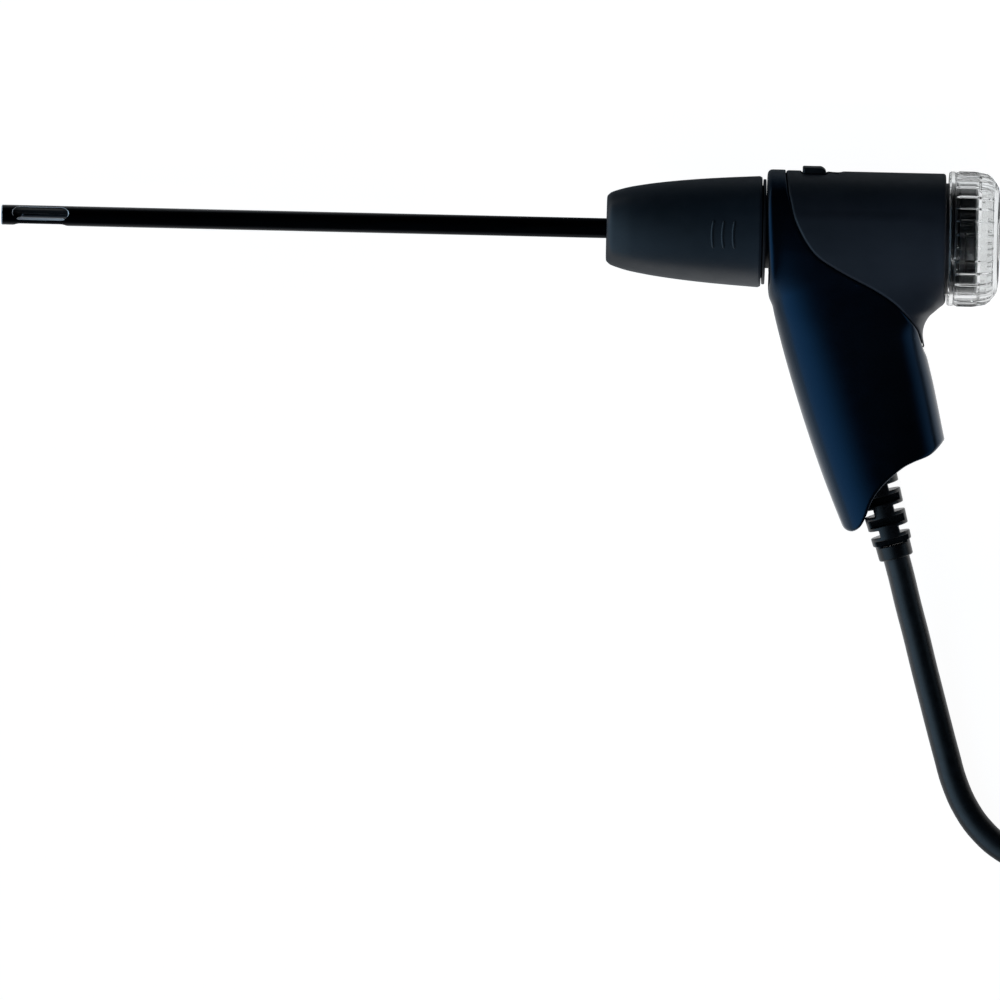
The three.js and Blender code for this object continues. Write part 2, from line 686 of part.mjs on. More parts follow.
// Off the top of the coil, to the plug.
const HOSE_TAIL = [
  [PLUG.x, -60.3, 13.2],
  [PLUG.x, -50.0, 13.9],
  [PLUG.x, PLUG.y - GAP, PLUG.z],
];

function hoseCoil() {
  const half = COIL.columns * HOSE_RADIUS;
  const top = COIL.floor + COIL.layers * 2 * HOSE_RADIUS;
  const bottom = COIL.floor;
  const edge = 3;
  const [inner, outer] = [COIL.radius - half, COIL.radius + half];
  const profile = vectors([
    [inner, bottom + edge], [inner + edge, bottom], [outer - edge, bottom], [outer, bottom + edge],
    [outer, top - edge], [outer - edge, top],
    [inner + edge, top], [inner, top - edge], [inner, bottom + edge],
  ]);
  return solid(new THREE.LatheGeometry(profile, 32).rotateX(HALF_TURN / 2).translate(COIL.x, COIL.y, 0));
}

// The plug's own frame: u runs from the back of its boot to its face, laid along +y on the bench.
function onBench(body) {
  return body.rotate([0, 0, 90]).translate([PLUG.x, PLUG.y, PLUG.z]);
}

function plugBoot() {
  return onBench(turned([[0, HOSE_RADIUS + GAP], [0, 5.4], [3, 5.8], [14, 7.6], [14, HOSE_RADIUS + GAP]], 16));
}

function plugBody() {
  const profile = [[14.3, 0], [14.3, 9.0], [17.5, 12.6], [34.0, 12.6], [34.0, 9.6], [44.0, 9.6], [44.0, 0]];
  const shell = turned(profile, 24);
  const ports = [[4.4, 0], [-4.4, 0]].map(([y, z]) => tube(41, 46, 2.6, 0, 16).translate([0, y, z]));
  const socket = box([41.5, 46], [-1.2, 1.2], [-4.6, 4.6]);
  return onBench(cut(shell, ...ports, socket));
}

function plugPort(y) {
  const nipple = turned([[41.3, 1.0], [41.3, 2.2], [47.6, 2.2], [48.2, 1.8], [48.2, 1.0]], 16);
  return onBench(nipple.translate([0, y, 0]));
}

function plugContacts() {
  return onBench(box([41.8, 46.4], [-0.8, 0.8], [-4.2, 4.2]));
}

function plugRing() {
  const profile = [[34.4, 10.0], [34.4, 13.6], [35.2, 14.2], [42.0, 14.2], [42.8, 13.6], [42.8, 10.0]];
  const barrelRing = turned(profile, 24);
  const grips = Array.from({ length: 8 }, (_, i) => {
    const a = ((i + 0.5) * FULL_TURN) / 8;
    return tube(33, 44, 1.3, 0, 8).translate([0, 15.0 * Math.cos(a), 15.0 * Math.sin(a)]);
  });
  return onBench(cut(barrelRing, ...grips));
}

function coilTie() {
  const half = COIL.columns * HOSE_RADIUS;
  const top = COIL.floor + COIL.layers * 2 * HOSE_RADIUS;
  const outer = box([COIL.radius - half - 1.7, COIL.radius + half + 1.1], [-5, 5], [0, top + 1.1]);
  const inner = box([COIL.radius - half - 0.9, COIL.radius + half + GAP], [-6, 6], [0.6, top + GAP]);
  return cut(outer, inner).rotate([0, 0, -60]).translate([COIL.x, COIL.y, 0]);
}

// ---------------------------------------------------------------- assembly

function piece(name, body, material) {
  const mesh = new THREE.Mesh(geometryOf(body), material);
  mesh.name = name;
  return mesh;
}

function probeModule() {
  const group = new THREE.Group();
  group.add(
    piece('probe_shaft', probeShaft(), MATERIAL.steel),
    piece('thermocouple', thermocouple(), MATERIAL.sheath),
    piece('thermocouple_guide', thermocoupleGuide(), MATERIAL.sheath),
    piece('thermocouple_head', thermocoupleHead(), MATERIAL.blackPlastic),
    piece('contact_pin_1', contactPin(-1.8), MATERIAL.brass),
    piece('contact_pin_2', contactPin(1.8), MATERIAL.brass),
    piece('cone_shell', coneShell(), MATERIAL.cone),
    piece('shaft_gland', shaftGland(), MATERIAL.rubber),
    piece('module_spigot', moduleSpigot(), MATERIAL.blackPlastic),
    piece('spigot_seal_front', ring(6.0, 10.45, 0.65), MATERIAL.rubber),
    piece('spigot_seal_back', ring(19.4, 10.45, 0.65), MATERIAL.rubber),
  );
  return group;
}

function handle() {
  const group = new THREE.Group();
  group.add(
    piece('grip_shell_left', gripShell(1), MATERIAL.navy),
    piece('grip_shell_right', gripShell(-1), MATERIAL.navy),
    piece('barrel_shell', barrelShell(), MATERIAL.charcoal),
    piece('socket_sleeve', socketSleeve(), MATERIAL.blackPlastic),
    piece('contact_block', contactBlock(), MATERIAL.blackPlastic),
    piece('gas_block', gasBlock(), MATERIAL.blackPlastic),
    piece('filter_seat', filterSeat(), MATERIAL.blackPlastic),
    piece('cap_seal', ring(56.3, 16.35, 0.6, AXIS_DROP, 28), MATERIAL.rubber),
    piece('probe_board', probeBoard(), MATERIAL.board),
    piece('board_socket', boardSocket(), MATERIAL.blackPlastic),
    piece('gas_tube', gasTube(), MATERIAL.silicone),
    piece('draft_tube', draftTube(), MATERIAL.silicone),
    piece('probe_lead', probeLead(), MATERIAL.rubber),
    piece('handle_lead', handleLead(), MATERIAL.rubber),
    piece('grip_floor', gripFloor(), MATERIAL.blackPlastic),
    piece('hose_barb', hoseBarb(), MATERIAL.brass),
    piece('strain_boot', strainBoot(), MATERIAL.rubber),
    ...SCREWS.map(([x, y], i) => piece(`grip_screw_${i + 1}`, gripScrew(x, y), MATERIAL.bright)),
  );
  return group;
}

function latch() {
  const group = new THREE.Group();
  group.add(
    piece('latch_button', latchButton(), MATERIAL.blackPlastic),
    piece('latch_ring', latchRing(), MATERIAL.blackPlastic),
    piece('latch_spring', latchSpring(), MATERIAL.bright),
  );
  return group;
}

function filterChamber() {
  const group = new THREE.Group();
  group.add(
    piece('filter_disc', filterDisc(), MATERIAL.filter),
    piece('filter_holder', filterHolder(), MATERIAL.blackPlastic),
    piece('filter_cap', filterCap(), MATERIAL.clear),
  );
  return group;
}

function hoseOnBench() {
  const group = new THREE.Group();
  group.add(
    piece('hose_run', swept(route(HOSE_RUN), HOSE_RADIUS, 10, 12), MATERIAL.hose),
    piece('hose_coil', hoseCoil(), MATERIAL.hose),
    piece('hose_tail', swept(route(HOSE_TAIL), HOSE_RADIUS, 10, 4), MATERIAL.hose),
    piece('coil_tie', coilTie(), MATERIAL.rubber),
    piece('plug_boot', plugBoot(), MATERIAL.rubber),
    piece('plug_body', plugBody(), MATERIAL.blackPlastic),
    piece('plug_gas_port', plugPort(4.4), MATERIAL.brass),
    piece('plug_draft_port', plugPort(-4.4), MATERIAL.brass),
    piece('plug_contacts', plugContacts(), MATERIAL.brass),
    piece('plug_ring', plugRing(), MATERIAL.charcoal),
  );
  return group;
}

const tool = new THREE.Group();
tool.add(probeModule(), handle(), latch(), filterChamber());
tool.rotation.x = REST.roll;
tool.position.set(REST.x, REST.y, REST.z);

const probe = new THREE.Group();
probe.add(tool, hoseOnBench());

export default probe;
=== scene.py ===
import math

import bmesh
import bpy
import numpy as np
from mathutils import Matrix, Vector


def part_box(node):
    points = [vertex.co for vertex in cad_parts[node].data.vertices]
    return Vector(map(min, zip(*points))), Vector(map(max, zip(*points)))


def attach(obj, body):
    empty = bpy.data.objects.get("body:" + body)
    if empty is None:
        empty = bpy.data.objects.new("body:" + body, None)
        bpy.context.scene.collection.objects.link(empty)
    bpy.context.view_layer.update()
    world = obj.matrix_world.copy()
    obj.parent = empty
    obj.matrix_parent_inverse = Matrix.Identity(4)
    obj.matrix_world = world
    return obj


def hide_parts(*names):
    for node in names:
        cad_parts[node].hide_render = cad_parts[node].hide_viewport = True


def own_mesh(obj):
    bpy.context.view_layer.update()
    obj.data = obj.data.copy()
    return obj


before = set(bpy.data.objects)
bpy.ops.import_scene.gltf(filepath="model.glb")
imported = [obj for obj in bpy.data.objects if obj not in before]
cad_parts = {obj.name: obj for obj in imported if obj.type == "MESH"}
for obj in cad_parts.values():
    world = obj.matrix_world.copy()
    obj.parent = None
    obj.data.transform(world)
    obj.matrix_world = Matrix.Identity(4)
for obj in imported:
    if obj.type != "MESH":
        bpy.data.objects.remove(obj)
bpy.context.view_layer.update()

# ---------------------------------------------------------------- the frame
# Shapes are written in the probe's own millimetres: x along the barrel towards the clear cap, y up through
# the grip, z across it, from the middle of the collar's front face on the shaft's axis. The probe lies
# rolled a little about its shaft.

MM = 0.001
ROLL = math.radians(4.9)
CONE_FRONT = -48.5
shaft_low, shaft_high = [np.array(c, float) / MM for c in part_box("probe_shaft")]
cone_low = np.array(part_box("cone_shell")[0], float) / MM
ORIGIN = np.array([cone_low[0] - CONE_FRONT, *((shaft_low + shaft_high) / 2)[1:]])


def on_bench(points):
    """Points in the probe's millimetres, as the frame's metres."""
    x, y, z = np.asarray(points, float).T
    c, s = math.cos(ROLL), math.sin(ROLL)
    return (np.stack([x, y * c - z * s, y * s + z * c], 1) + ORIGIN) * MM


def bench(x, y):
    return (on_bench([(x, y, 0)])[0] / MM).tolist()


# ---------------------------------------------------------------- camera

camera = bpy.data.objects.new("camera", bpy.data.cameras.new("camera"))
camera.data.sensor_width = 36.0
camera.data.lens = 720.0
camera.location = (0.00184, -0.04337, 6.0202)
camera.rotation_euler = (0, 0, math.radians(1.297))
bpy.context.collection.objects.link(camera)
bpy.context.scene.camera = camera

# ---------------------------------------------------------------- the hose's route, mm on the bench

HOSE = 4.0
BOOT_END = np.array([40.9, -97.2])
BOOT_LEAN = math.radians(16.2)
BOOT_WAY = np.array([math.sin(BOOT_LEAN), -math.cos(BOOT_LEAN)])
BOOT_LENGTH = 33.0
COIL = {"x": 220.5, "y": -91.8, "outer": 57.5, "pitch": 8.1, "floor": 4.9, "turns": 7.25}
PLUG = (278.0, -40.0, 14.3)

RUN = [
    bench(*(BOOT_END - 4.0 * BOOT_WAY)),
    bench(*BOOT_END),
    (122.9, -63.5, 11.3), (125.2, -72.1, 10.1), (127.8, -81.1, 8.5), (130.2, -90.0, 6.9),
    (132.7, -98.9, 5.6), (135.2, -107.8, 4.8), (137.8, -116.8, 4.4), (140.4, -125.2, 4.3),
    (144.3, -133.3, 4.3), (149.4, -139.9, 4.3), (155.6, -144.9, 4.4), (163.0, -148.2, 4.5),
    (172.0, -149.3, 4.6), (180.5, -149.3, 4.8), (189.0, -149.3, 4.9), (205.0, -149.3, 4.9),
]
TAIL = [
    (PLUG[0], -82.0, 12.9), (PLUG[0], -71.0, 13.0), (PLUG[0], -60.3, 13.2), (PLUG[0], -50.0, 13.9),
    (PLUG[0], PLUG[1] - 0.3, PLUG[2]), (PLUG[0], PLUG[1] + 4.0, PLUG[2]),
]
# where in the winding, in degrees, the hose moves by a column or up a layer
SHIFTS = [
    (250, 360, -1, 0), (610, 720, -1, 0), (970, 1080, -1, 0), (1250, 1330, 0, 1),
    (1495, 1605, 1, 0), (1855, 1965, 1, 0), (2215, 2325, 1, 0),
]


def winding(degrees):
    """A point of the coil, so many degrees round from where the hose enters it."""
    column = layer = 0.0
    for start, end, columns, layers in SHIFTS:
        t = min(max((degrees - start) / (end - start), 0.0), 1.0)
        t = t * t * (3 - 2 * t)
        column += columns * t
        layer += layers * t
    radius = COIL["outer"] + COIL["pitch"] * column
    a = math.radians(degrees - 90)
    x, y = COIL["x"] + radius * math.cos(a), COIL["y"] + radius * math.sin(a)
    return (x, y, COIL["floor"] + 2 * HOSE * layer)


route = RUN + [winding(15.0 * i) for i in range(int(COIL["turns"] * 24) + 1)] + TAIL

# ---------------------------------------------------------------- materials


class Finish:
    """A procedural material built around one Principled shader, on the object's own coordinates."""

    def __init__(self, name, roughness=0.5, metallic=0.0, specular=0.5, **sockets):
        self.material = bpy.data.materials.new(name)
        self.material.use_nodes = True
        self.tree = self.material.node_tree
        self.shader = self.tree.nodes["Principled BSDF"]
        self.coordinates = self.tree.nodes.new("ShaderNodeTexCoord").outputs["Object"]
        self.set("Roughness", roughness)
        self.set("Metallic", metallic)
        self.set("Specular IOR Level", specular)
        for socket, value in sockets.items():
            self.set(socket.replace("_", " "), value)

    def set(self, socket, value):
        self.shader.inputs[socket].default_value = value

    def link(self, output, target):
        self.tree.links.new(output, target)

    def stretched(self, stretch):
        node = self.tree.nodes.new("ShaderNodeMapping")
        node.inputs["Scale"].default_value = stretch
        self.link(self.coordinates, node.inputs["Vector"])
        return node.outputs["Vector"]

    def noise(self, scale, detail=3.0, stretch=None, roughness=0.5):
        """Noise with features of about the given size in millimetres."""
        node = self.tree.nodes.new("ShaderNodeTexNoise")
        node.inputs["Scale"].default_value = 1000.0 / scale
        node.inputs["Detail"].default_value = detail
        node.inputs["Roughness"].default_value = roughness
        self.link(self.stretched(stretch) if stretch else self.coordinates, node.inputs["Vector"])
        return node.outputs["Fac"]

    def cells(self, scale, stretch=None):
        node = self.tree.nodes.new("ShaderNodeTexVoronoi")
        node.inputs["Scale"].default_value = 1000.0 / scale
        self.link(self.stretched(stretch) if stretch else self.coordinates, node.inputs["Vector"])
        return node.outputs["Distance"]

    def math(self, operation, *values):
        node = self.tree.nodes.new("ShaderNodeMath")
        node.operation = operation
        for socket, value in zip(node.inputs, values):
            if isinstance(value, (int, float)):
                socket.default_value = value
            else:
                self.link(value, socket)
        return node.outputs["Value"]

    def spread(self, source, low, high, start=0.3, end=0.7):
        node = self.tree.nodes.new("ShaderNodeMapRange")
        node.inputs["From Min"].default_value = start
        node.inputs["From Max"].default_value = end
        node.inputs["To Min"].default_value = low
        node.inputs["To Max"].default_value = high
        self.link(source, node.inputs["Value"])
        return node.outputs["Result"]

    def colours(self, source, *stops, start=0.3, end=0.7):
        """Colours spread evenly over the source's range."""
        node = self.tree.nodes.new("ShaderNodeValToRGB")
        ramp = node.color_ramp
        while len(ramp.elements) < len(stops):
            ramp.elements.new(0.5)
        for i, colour in enumerate(stops):
            ramp.elements[i].position = start + (end - start) * i / (len(stops) - 1)
            ramp.elements[i].color = (*colour, 1.0)
        self.link(source, node.inputs["Fac"])
        self.link(node.outputs["Color"], self.shader.inputs["Base Color"])
        return self

    def rough(self, source, low, high, start=0.3, end=0.7):
        self.link(self.spread(source, low, high, start, end), self.shader.inputs["Roughness"])
        return self

    def bump(self, *layers):
        """Raises the surface by layers of (source, height in millimetres)."""
        normal = None
        for source, height in layers:
            node = self.tree.nodes.new("ShaderNodeBump")
            node.inputs["Distance"].default_value = height * MM
            self.link(source, node.inputs["Height"])
            if normal is not None:
                self.link(normal, node.inputs["Normal"])
            normal = node.outputs["Normal"]
        self.link(normal, self.shader.inputs["Normal"])
        return self


def moulded(name, dark, light, rough, grain=0.35, height=0.012, specular=0.5, **sockets):
    """Moulded plastic: spark-eroded grain, faint flow marks in its colour and gloss."""
    finish = Finish(name, rough[0], 0.0, specular, **sockets)
    flow = finish.noise(14.0, 2.0, (0.6, 1.0, 1.0))
    finish.colours(flow, dark, light)
    finish.rough(finish.noise(4.0, 4.0), *rough)
    return finish.bump((finish.noise(grain, 2.0), height), (finish.noise(3.0, 2.0), height * 1.5))


def rubber(name, dark, light, rough, grain=0.25, height=0.015, specular=0.4):
    finish = Finish(name, rough[0], 0.0, specular)
    finish.colours(finish.noise(2.5, 4.0), dark, light)
    finish.rough(finish.noise(1.2, 4.0), *rough)
    return finish.bump((finish.noise(grain, 3.0), height))


def metal(name, dark, light, rough, stretch=(0.05, 1.0, 1.0), grain=0.3, height=0.004):
    """Drawn metal: fine scratches along its length."""
    finish = Finish(name, rough[0], 1.0)
    drawn = finish.noise(grain, 4.0, stretch)
    finish.colours(drawn, dark, light)
    finish.rough(finish.noise(grain * 4, 3.0, stretch), *rough)
    return finish.bump((drawn, height))


def shaft_steel():
    """Blackened steel, inside and out, bare on the cut edges of its windows."""
    finish = Finish("shaft_steel", 0.3, 1.0)
    drawn = finish.noise(0.35, 4.0, (0.04, 1.0, 1.0))
    split = finish.tree.nodes.new("ShaderNodeSeparateXYZ")
    finish.link(finish.coordinates, split.inputs["Vector"])
    y = finish.math("SUBTRACT", split.outputs["Y"], float(ORIGIN[1] * MM))
    z = finish.math("SUBTRACT", split.outputs["Z"], float(ORIGIN[2] * MM))
    squared = finish.math("ADD", finish.math("MULTIPLY", y, y), finish.math("MULTIPLY", z, z))
    out = finish.math("SQRT", squared)
    outside = finish.spread(out, 0.0, 1.0, 2.955 * MM, 2.99 * MM)
    coated = finish.math("MAXIMUM", outside, finish.spread(out, 1.0, 0.0, 2.41 * MM, 2.44 * MM))
    finish.link(outside, finish.shader.inputs["Metallic"])
    finish.colours(finish.math("ADD", coated, finish.math("MULTIPLY", drawn, 0.12)),
                   (0.72, 0.73, 0.75), (0.20, 0.21, 0.23), (0.014, 0.017, 0.022), (0.006, 0.007, 0.009),
                   start=0.05, end=1.0)
    finish.rough(finish.noise(1.5, 3.0, (0.1, 1.0, 1.0)), 0.24, 0.38)
    return finish.bump((drawn, 0.003))


def clear_plastic():
    finish = Finish("clear_plastic", 0.04, 0.0, 0.5, IOR=1.49, Transmission_Weight=1.0)
    finish.colours(finish.noise(9.0, 2.0), (0.79, 0.80, 0.80), (0.85, 0.86, 0.86))
    finish.rough(finish.noise(3.0, 3.0), 0.02, 0.07)
    return finish.bump((finish.noise(5.0, 2.0), 0.02))


def filter_felt():
    finish = Finish("filter_felt", 0.9, 0.0, 0.2, Sheen_Weight=0.3)
    finish.colours(finish.noise(1.2, 5.0), (0.72, 0.71, 0.67), (0.86, 0.85, 0.82))
    return finish.bump((finish.noise(0.5, 5.0), 0.12), (finish.cells(0.9), 0.08))


def circuit_board():
    finish = Finish("board", 0.35, 0.0, 0.5)
    finish.colours(finish.cells(2.2), (0.012, 0.09, 0.04), (0.02, 0.13, 0.06))
    return finish.bump((finish.noise(0.8, 2.0), 0.02))


FINISHES = {
    "shaft_steel": shaft_steel(),
    "sheath_steel": metal("sheath_steel", (0.06, 0.065, 0.075), (0.14, 0.145, 0.155), (0.22, 0.36)),
    "cone_plastic": moulded("cone_plastic", (0.007, 0.0105, 0.015), (0.010, 0.0145, 0.021), (0.34, 0.42)),
    "barrel_plastic": moulded("barrel_plastic", (0.0075, 0.0095, 0.014), (0.011, 0.0135, 0.019), (0.38, 0.46),
                              0.4, 0.02),
    "grip_plastic": moulded("grip_plastic", (0.0009, 0.0013, 0.0022), (0.0014, 0.0022, 0.0038), (0.20, 0.26),
                            0.5, 0.005, 0.5, Specular_Tint=(0.15, 0.5, 1.0, 1.0)),
    "black_plastic": moulded("black_plastic", (0.004, 0.004, 0.005), (0.008, 0.008, 0.010), (0.34, 0.44)),
    "boot_rubber": rubber("boot_rubber", (0.004, 0.004, 0.005), (0.008, 0.008, 0.009), (0.26, 0.36)),
    "hose_rubber": rubber("hose_rubber", (0.009, 0.009, 0.010), (0.017, 0.017, 0.019), (0.30, 0.42),
                          0.4, 0.008, 0.5),
    "seal_rubber": rubber("seal_rubber", (0.008, 0.008, 0.008), (0.016, 0.016, 0.016), (0.45, 0.6)),
    "clear_plastic": clear_plastic(),
    "filter_felt": filter_felt(),
    "silicone": rubber("silicone", (0.48, 0.49, 0.46), (0.62, 0.63, 0.60), (0.35, 0.5), 0.6, 0.01, 0.5),
    "brass": metal("brass", (0.50, 0.36, 0.14), (0.66, 0.50, 0.24), (0.2, 0.35)),
    "board": circuit_board(),
    "screw_steel": metal("screw_steel", (0.46, 0.47, 0.49), (0.64, 0.65, 0.67), (0.22, 0.36), (1, 1, 1)),
}

# ---------------------------------------------------------------- pieces


def add_piece(name, points, faces, slot, body, replaces=(), smooth_angle=None, weighted=False):
    """A closed mesh from points in the frame's metres."""
    mesh = bpy.data.meshes.new(name)
    mesh.from_pydata(np.asarray(points).tolist(), [], [list(map(int, f)) for f in faces])
    tidy = bmesh.new()
    tidy.from_mesh(mesh)
    bmesh.ops.remove_doubles(tidy, verts=tidy.verts, dist=1e-7)
    bmesh.ops.recalc_face_normals(tidy, faces=tidy.faces)
    tidy.to_mesh(mesh)
    tidy.free()
    mesh.polygons.foreach_set("use_smooth", [True] * len(mesh.polygons))
    if smooth_angle:
        mesh.set_sharp_from_angle(angle=math.radians(smooth_angle))
    piece = bpy.data.objects.new(name, mesh)
    bpy.context.collection.objects.link(piece)
    piece.data.materials.append(FINISHES[slot].material)
    if weighted:
        modifier = piece.modifiers.new("normals", "WEIGHTED_NORMAL")
        modifier.keep_sharp = True
    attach(piece, body)
    if replaces:
        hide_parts(*replaces)
    return piece


def grid(rings, around, closed=False):
    """Quads between rings of points; when closed, the last ring joins the first."""
    i, j = np.meshgrid(np.arange(rings if closed else rings - 1), np.arange(around), indexing="ij")
    n, m = (i + 1) % rings, (j + 1) % around
    quads = np.stack([i * around + j, i * around + m, n * around + m, n * around + j], -1)
    return quads.reshape(-1, 4).tolist()


def add_hose():
    curve = bpy.data.curves.new("hose", "CURVE")
    curve.dimensions = "3D"
    curve.resolution_u = 4
    curve.bevel_depth = HOSE * MM
    curve.bevel_resolution = 8
    curve.use_fill_caps = True
    spline = curve.splines.new("BEZIER")
    spline.bezier_points.add(len(route) - 1)
    for knot, place in zip(spline.bezier_points, route):
        knot.co = Vector(place) * MM
        knot.handle_left_type = knot.handle_right_type = "AUTO"
    hose = bpy.data.objects.new("hose", curve)
    bpy.context.collection.objects.link(hose)
    curve.materials.append(FINISHES["hose_rubber"].material)
    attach(hose, "handle")
    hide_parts("hose_run", "hose_coil", "hose_tail")
    return hose


hose = add_hose()

# ---------------------------------------------------------------- shapes as distance fields, mm


def rmax(a, b, radius=0.0):
    """The part common to two shapes, with its edge rounded."""
    if radius <= 0:
        return np.maximum(a, b)
    u, v = a + radius, b + radius
    return np.minimum(np.maximum(u, v), 0) + np.hypot(np.maximum(u, 0), np.maximum(v, 0)) - radius


def rmin(a, b, radius=0.0):
    """Two shapes joined, with a fillet between them."""
    return -rmax(-a, -b, radius)


def slab(value, low, high):
    return np.maximum(low - value, value - high)


def block(x, y, z, xs, ys, zs, radius=0.0):
    spans = zip((x, y, z), (xs, ys, zs))
    qx, qy, qz = [np.abs(v - (a + b) / 2) - (b - a) / 2 + radius for v, (a, b) in spans]
    outside = np.sqrt(np.maximum(qx, 0) ** 2 + np.maximum(qy, 0) ** 2 + np.maximum(qz, 0) ** 2)
    return outside + np.minimum(np.maximum(np.maximum(qx, qy), qz), 0) - radius


def hermite(pairs, at):
    """A smooth curve through [place, value] pairs, listed from the top down."""
    place, value = np.array(pairs[::-1], float).T
    slope = np.gradient(value)
    spans = np.gradient(place)
    slope = slope / spans
    at = np.clip(at, place[0], place[-1])
    k = np.clip(np.searchsorted(place, at) - 1, 0, len(place) - 2)
    span = place[k + 1] - place[k]
    t = (at - place[k]) / span
    t2, t3 = t * t, t * t * t
    return ((2 * t3 - 3 * t2 + 1) * value[k] + (t3 - 2 * t2 + t) * span * slope[k]
            + (3 * t2 - 2 * t3) * value[k + 1] + (t3 - t2) * span * slope[k + 1])


def spline_through(points, per_span=8):
    p = np.array(points, float)
    p = np.vstack([2 * p[0] - p[1], p, 2 * p[-1] - p[-2]])
    out = []
    for a, b, c, d in zip(p[:-3], p[1:-2], p[2:-1], p[3:]):
        for t in np.arange(per_span) / per_span:
            out.append(0.5 * (2 * b + (c - a) * t + (2 * a - 5 * b + 4 * c - d) * t * t
                              + (3 * b - a - 3 * c + d) * t ** 3))
    return np.vstack([out, p[-2]])


def left_of(line, x, y):
    """Signed distance to a line in the x-y plane, above zero on its left."""
    x, y = np.broadcast_arrays(x, y)
    shape = x.shape
    if len(shape) == 3:
        x, y = x[:, :, 0], y[:, :, 0]
    nearest = np.full(x.shape, np.inf)
    side = np.ones(x.shape)
    for (ax, ay), (bx, by) in zip(line[:-1], line[1:]):
        dx, dy = bx - ax, by - ay
        t = np.clip(((x - ax) * dx + (y - ay) * dy) / (dx * dx + dy * dy), 0, 1)
        gap = (x - ax - t * dx) ** 2 + (y - ay - t * dy) ** 2
        closer = gap < nearest
        nearest = np.where(closer, gap, nearest)
        side = np.where(closer, np.sign(dx * (y - ay) - dy * (x - ax)), side)
    result = np.sqrt(nearest) * side
    return result[:, :, None] if len(shape) == 3 else result


def net(field, low, high, step, rounds=3):
    """The surface where a field is zero, as quads: one point in each cell that the surface crosses."""
    axes = [np.arange(a - 1.5 * step, b + 2.0 * step, step) for a, b in zip(low, high)]
    x, y, z = axes[0][:, None, None], axes[1][None, :, None], axes[2][None, None, :]
    values = np.broadcast_to(field(x, y, z), [len(a) for a in axes]).astype(np.float32)
    inside = values < 0
    strides = np.array([values.shape[1] * values.shape[2], values.shape[2], 1])
    owners, crossings, quads = [], [], []
    for axis in range(3):
        ahead = [slice(None)] * 3
        behind = [slice(None)] * 3
        ahead[axis], behind[axis] = slice(1, None), slice(None, -1)
        edges = np.argwhere(inside[tuple(behind)] != inside[tuple(ahead)])
        a = values[tuple(behind)][tuple(edges.T)]
        b = values[tuple(ahead)][tuple(edges.T)]
        place = edges.astype(float)
        place[:, axis] += a / (a - b)
        j, k = (axis + 1) % 3, (axis + 2) % 3
        base = edges @ strides
        corners = [base - strides[j] - strides[k], base - strides[k], base, base - strides[j]]
        quad = np.stack(corners, 1)
        quads.append(np.where((a < 0)[:, None], quad, quad[:, ::-1]))
        for owner in corners:
            owners.append(owner)
            crossings.append(place)
    owners, crossings, quads = np.concatenate(owners), np.concatenate(crossings), np.concatenate(quads)
    cells, which = np.unique(owners, return_inverse=True)
    count = np.bincount(which)
    points = np.stack([np.bincount(which, crossings[:, i]) / count for i in range(3)], 1)
    points = points * step + np.array([a[0] for a in axes])
    faces = np.searchsorted(cells, quads)
    for _ in range(rounds):
        p = points.T
        value = field(*p)
        h = 0.02
        slope = np.stack([(field(*(p + h * e[:, None])) - field(*(p - h * e[:, None]))) / (2 * h)
                          for e in np.eye(3)], 1)
        steepness = np.maximum((slope ** 2).sum(1), 0.05)
        move = -slope * (value / steepness)[:, None]
        reach = np.maximum(np.linalg.norm(move, axis=1, keepdims=True) / (0.6 * step), 1)
        points = points + move / reach
    return points, faces


# ---------------------------------------------------------------- the handle's form

AXIS_DROP = -0.85
BARREL_RADIUS = 19.5
COLLAR_RADIUS = 19.65
BARREL_BORE = 17.2
BARREL_BACK = 53.0
WALL = 2.2
GRIP_FRONT = [
    [20, -0.5], [6, -0.4], [-4, 0.1], [-19, 1.3], [-31, 4.1], [-49, 9.6], [-67, 15.9], [-92, 25.6],
]
GRIP_BACK = [
    [6, 52.9], [-18.5, 52.9], [-21.5, 51.6], [-24.2, 48.9], [-27.4, 47.4], [-31, 47.3], [-45, 50.8],
    [-60, 54.2], [-92, 61.5],
]
GRIP_HALF_WIDTH = [
    [6, 17.6], [-4, 18.9], [-8, 18.2], [-12, 17.1], [-17, 16.1], [-24, 15.5], [-45, 15.0], [-75, 13.9],
    [-92, 12.4],
]
GRIP_SQUARENESS = [[6, 6], [-10, 5], [-20, 3.6], [-32, 2.7], [-92, 2.5]]
SEAM = [
    [5.5, 12.7], [8.0, 3.9], [13.6, -5.0], [21.7, -10.5], [31.8, -15.8], [38.8, -20.5], [44.5, -26.7],
    [46.4, -31.1], [47.8, -35.0], [50.5, -39.0],
]
FOOT = [
    [54.1, -61.6], [50.1, -65.2], [45.0, -67.4], [41.3, -69.6], [36.3, -74.3], [33.0, -79.2], [31.2, -84.2],
    [29.6, -87.4], [27.2, -89.0], [24.8, -88.4], [23.4, -86.0],
]
SCREWS = [(8.5, -27.0), (41.5, -33.5), (21.5, -62.0), (46.5, -57.0)]

SEAM_GAP = 0.16
SEAM_LINE = np.vstack([[4.9, 60], [4.9, 17.7], spline_through(SEAM), [70, -62]])
FOOT_LINE = np.vstack([[110, -59], [70, -60.8], spline_through(FOOT), [17.0, -72], [6, -52], [-40, -10]])


def grip_form(x, y, z):
    front, back = hermite(GRIP_FRONT, y), hermite(GRIP_BACK, y)
    half = hermite(GRIP_HALF_WIDTH, y)
    power = hermite(GRIP_SQUARENESS, y)
    a = (back - front) / 2
    u = np.abs(x - (front + back) / 2) / a + 1e-9
    v = np.abs(z) / half + 1e-9
    s = (u ** power + v ** power) ** (1 / power)
    slope = np.hypot(u ** (power - 1) / a, v ** (power - 1) / half) * s ** (1 - power)
    return np.maximum((s - 1) / slope, -12.0)


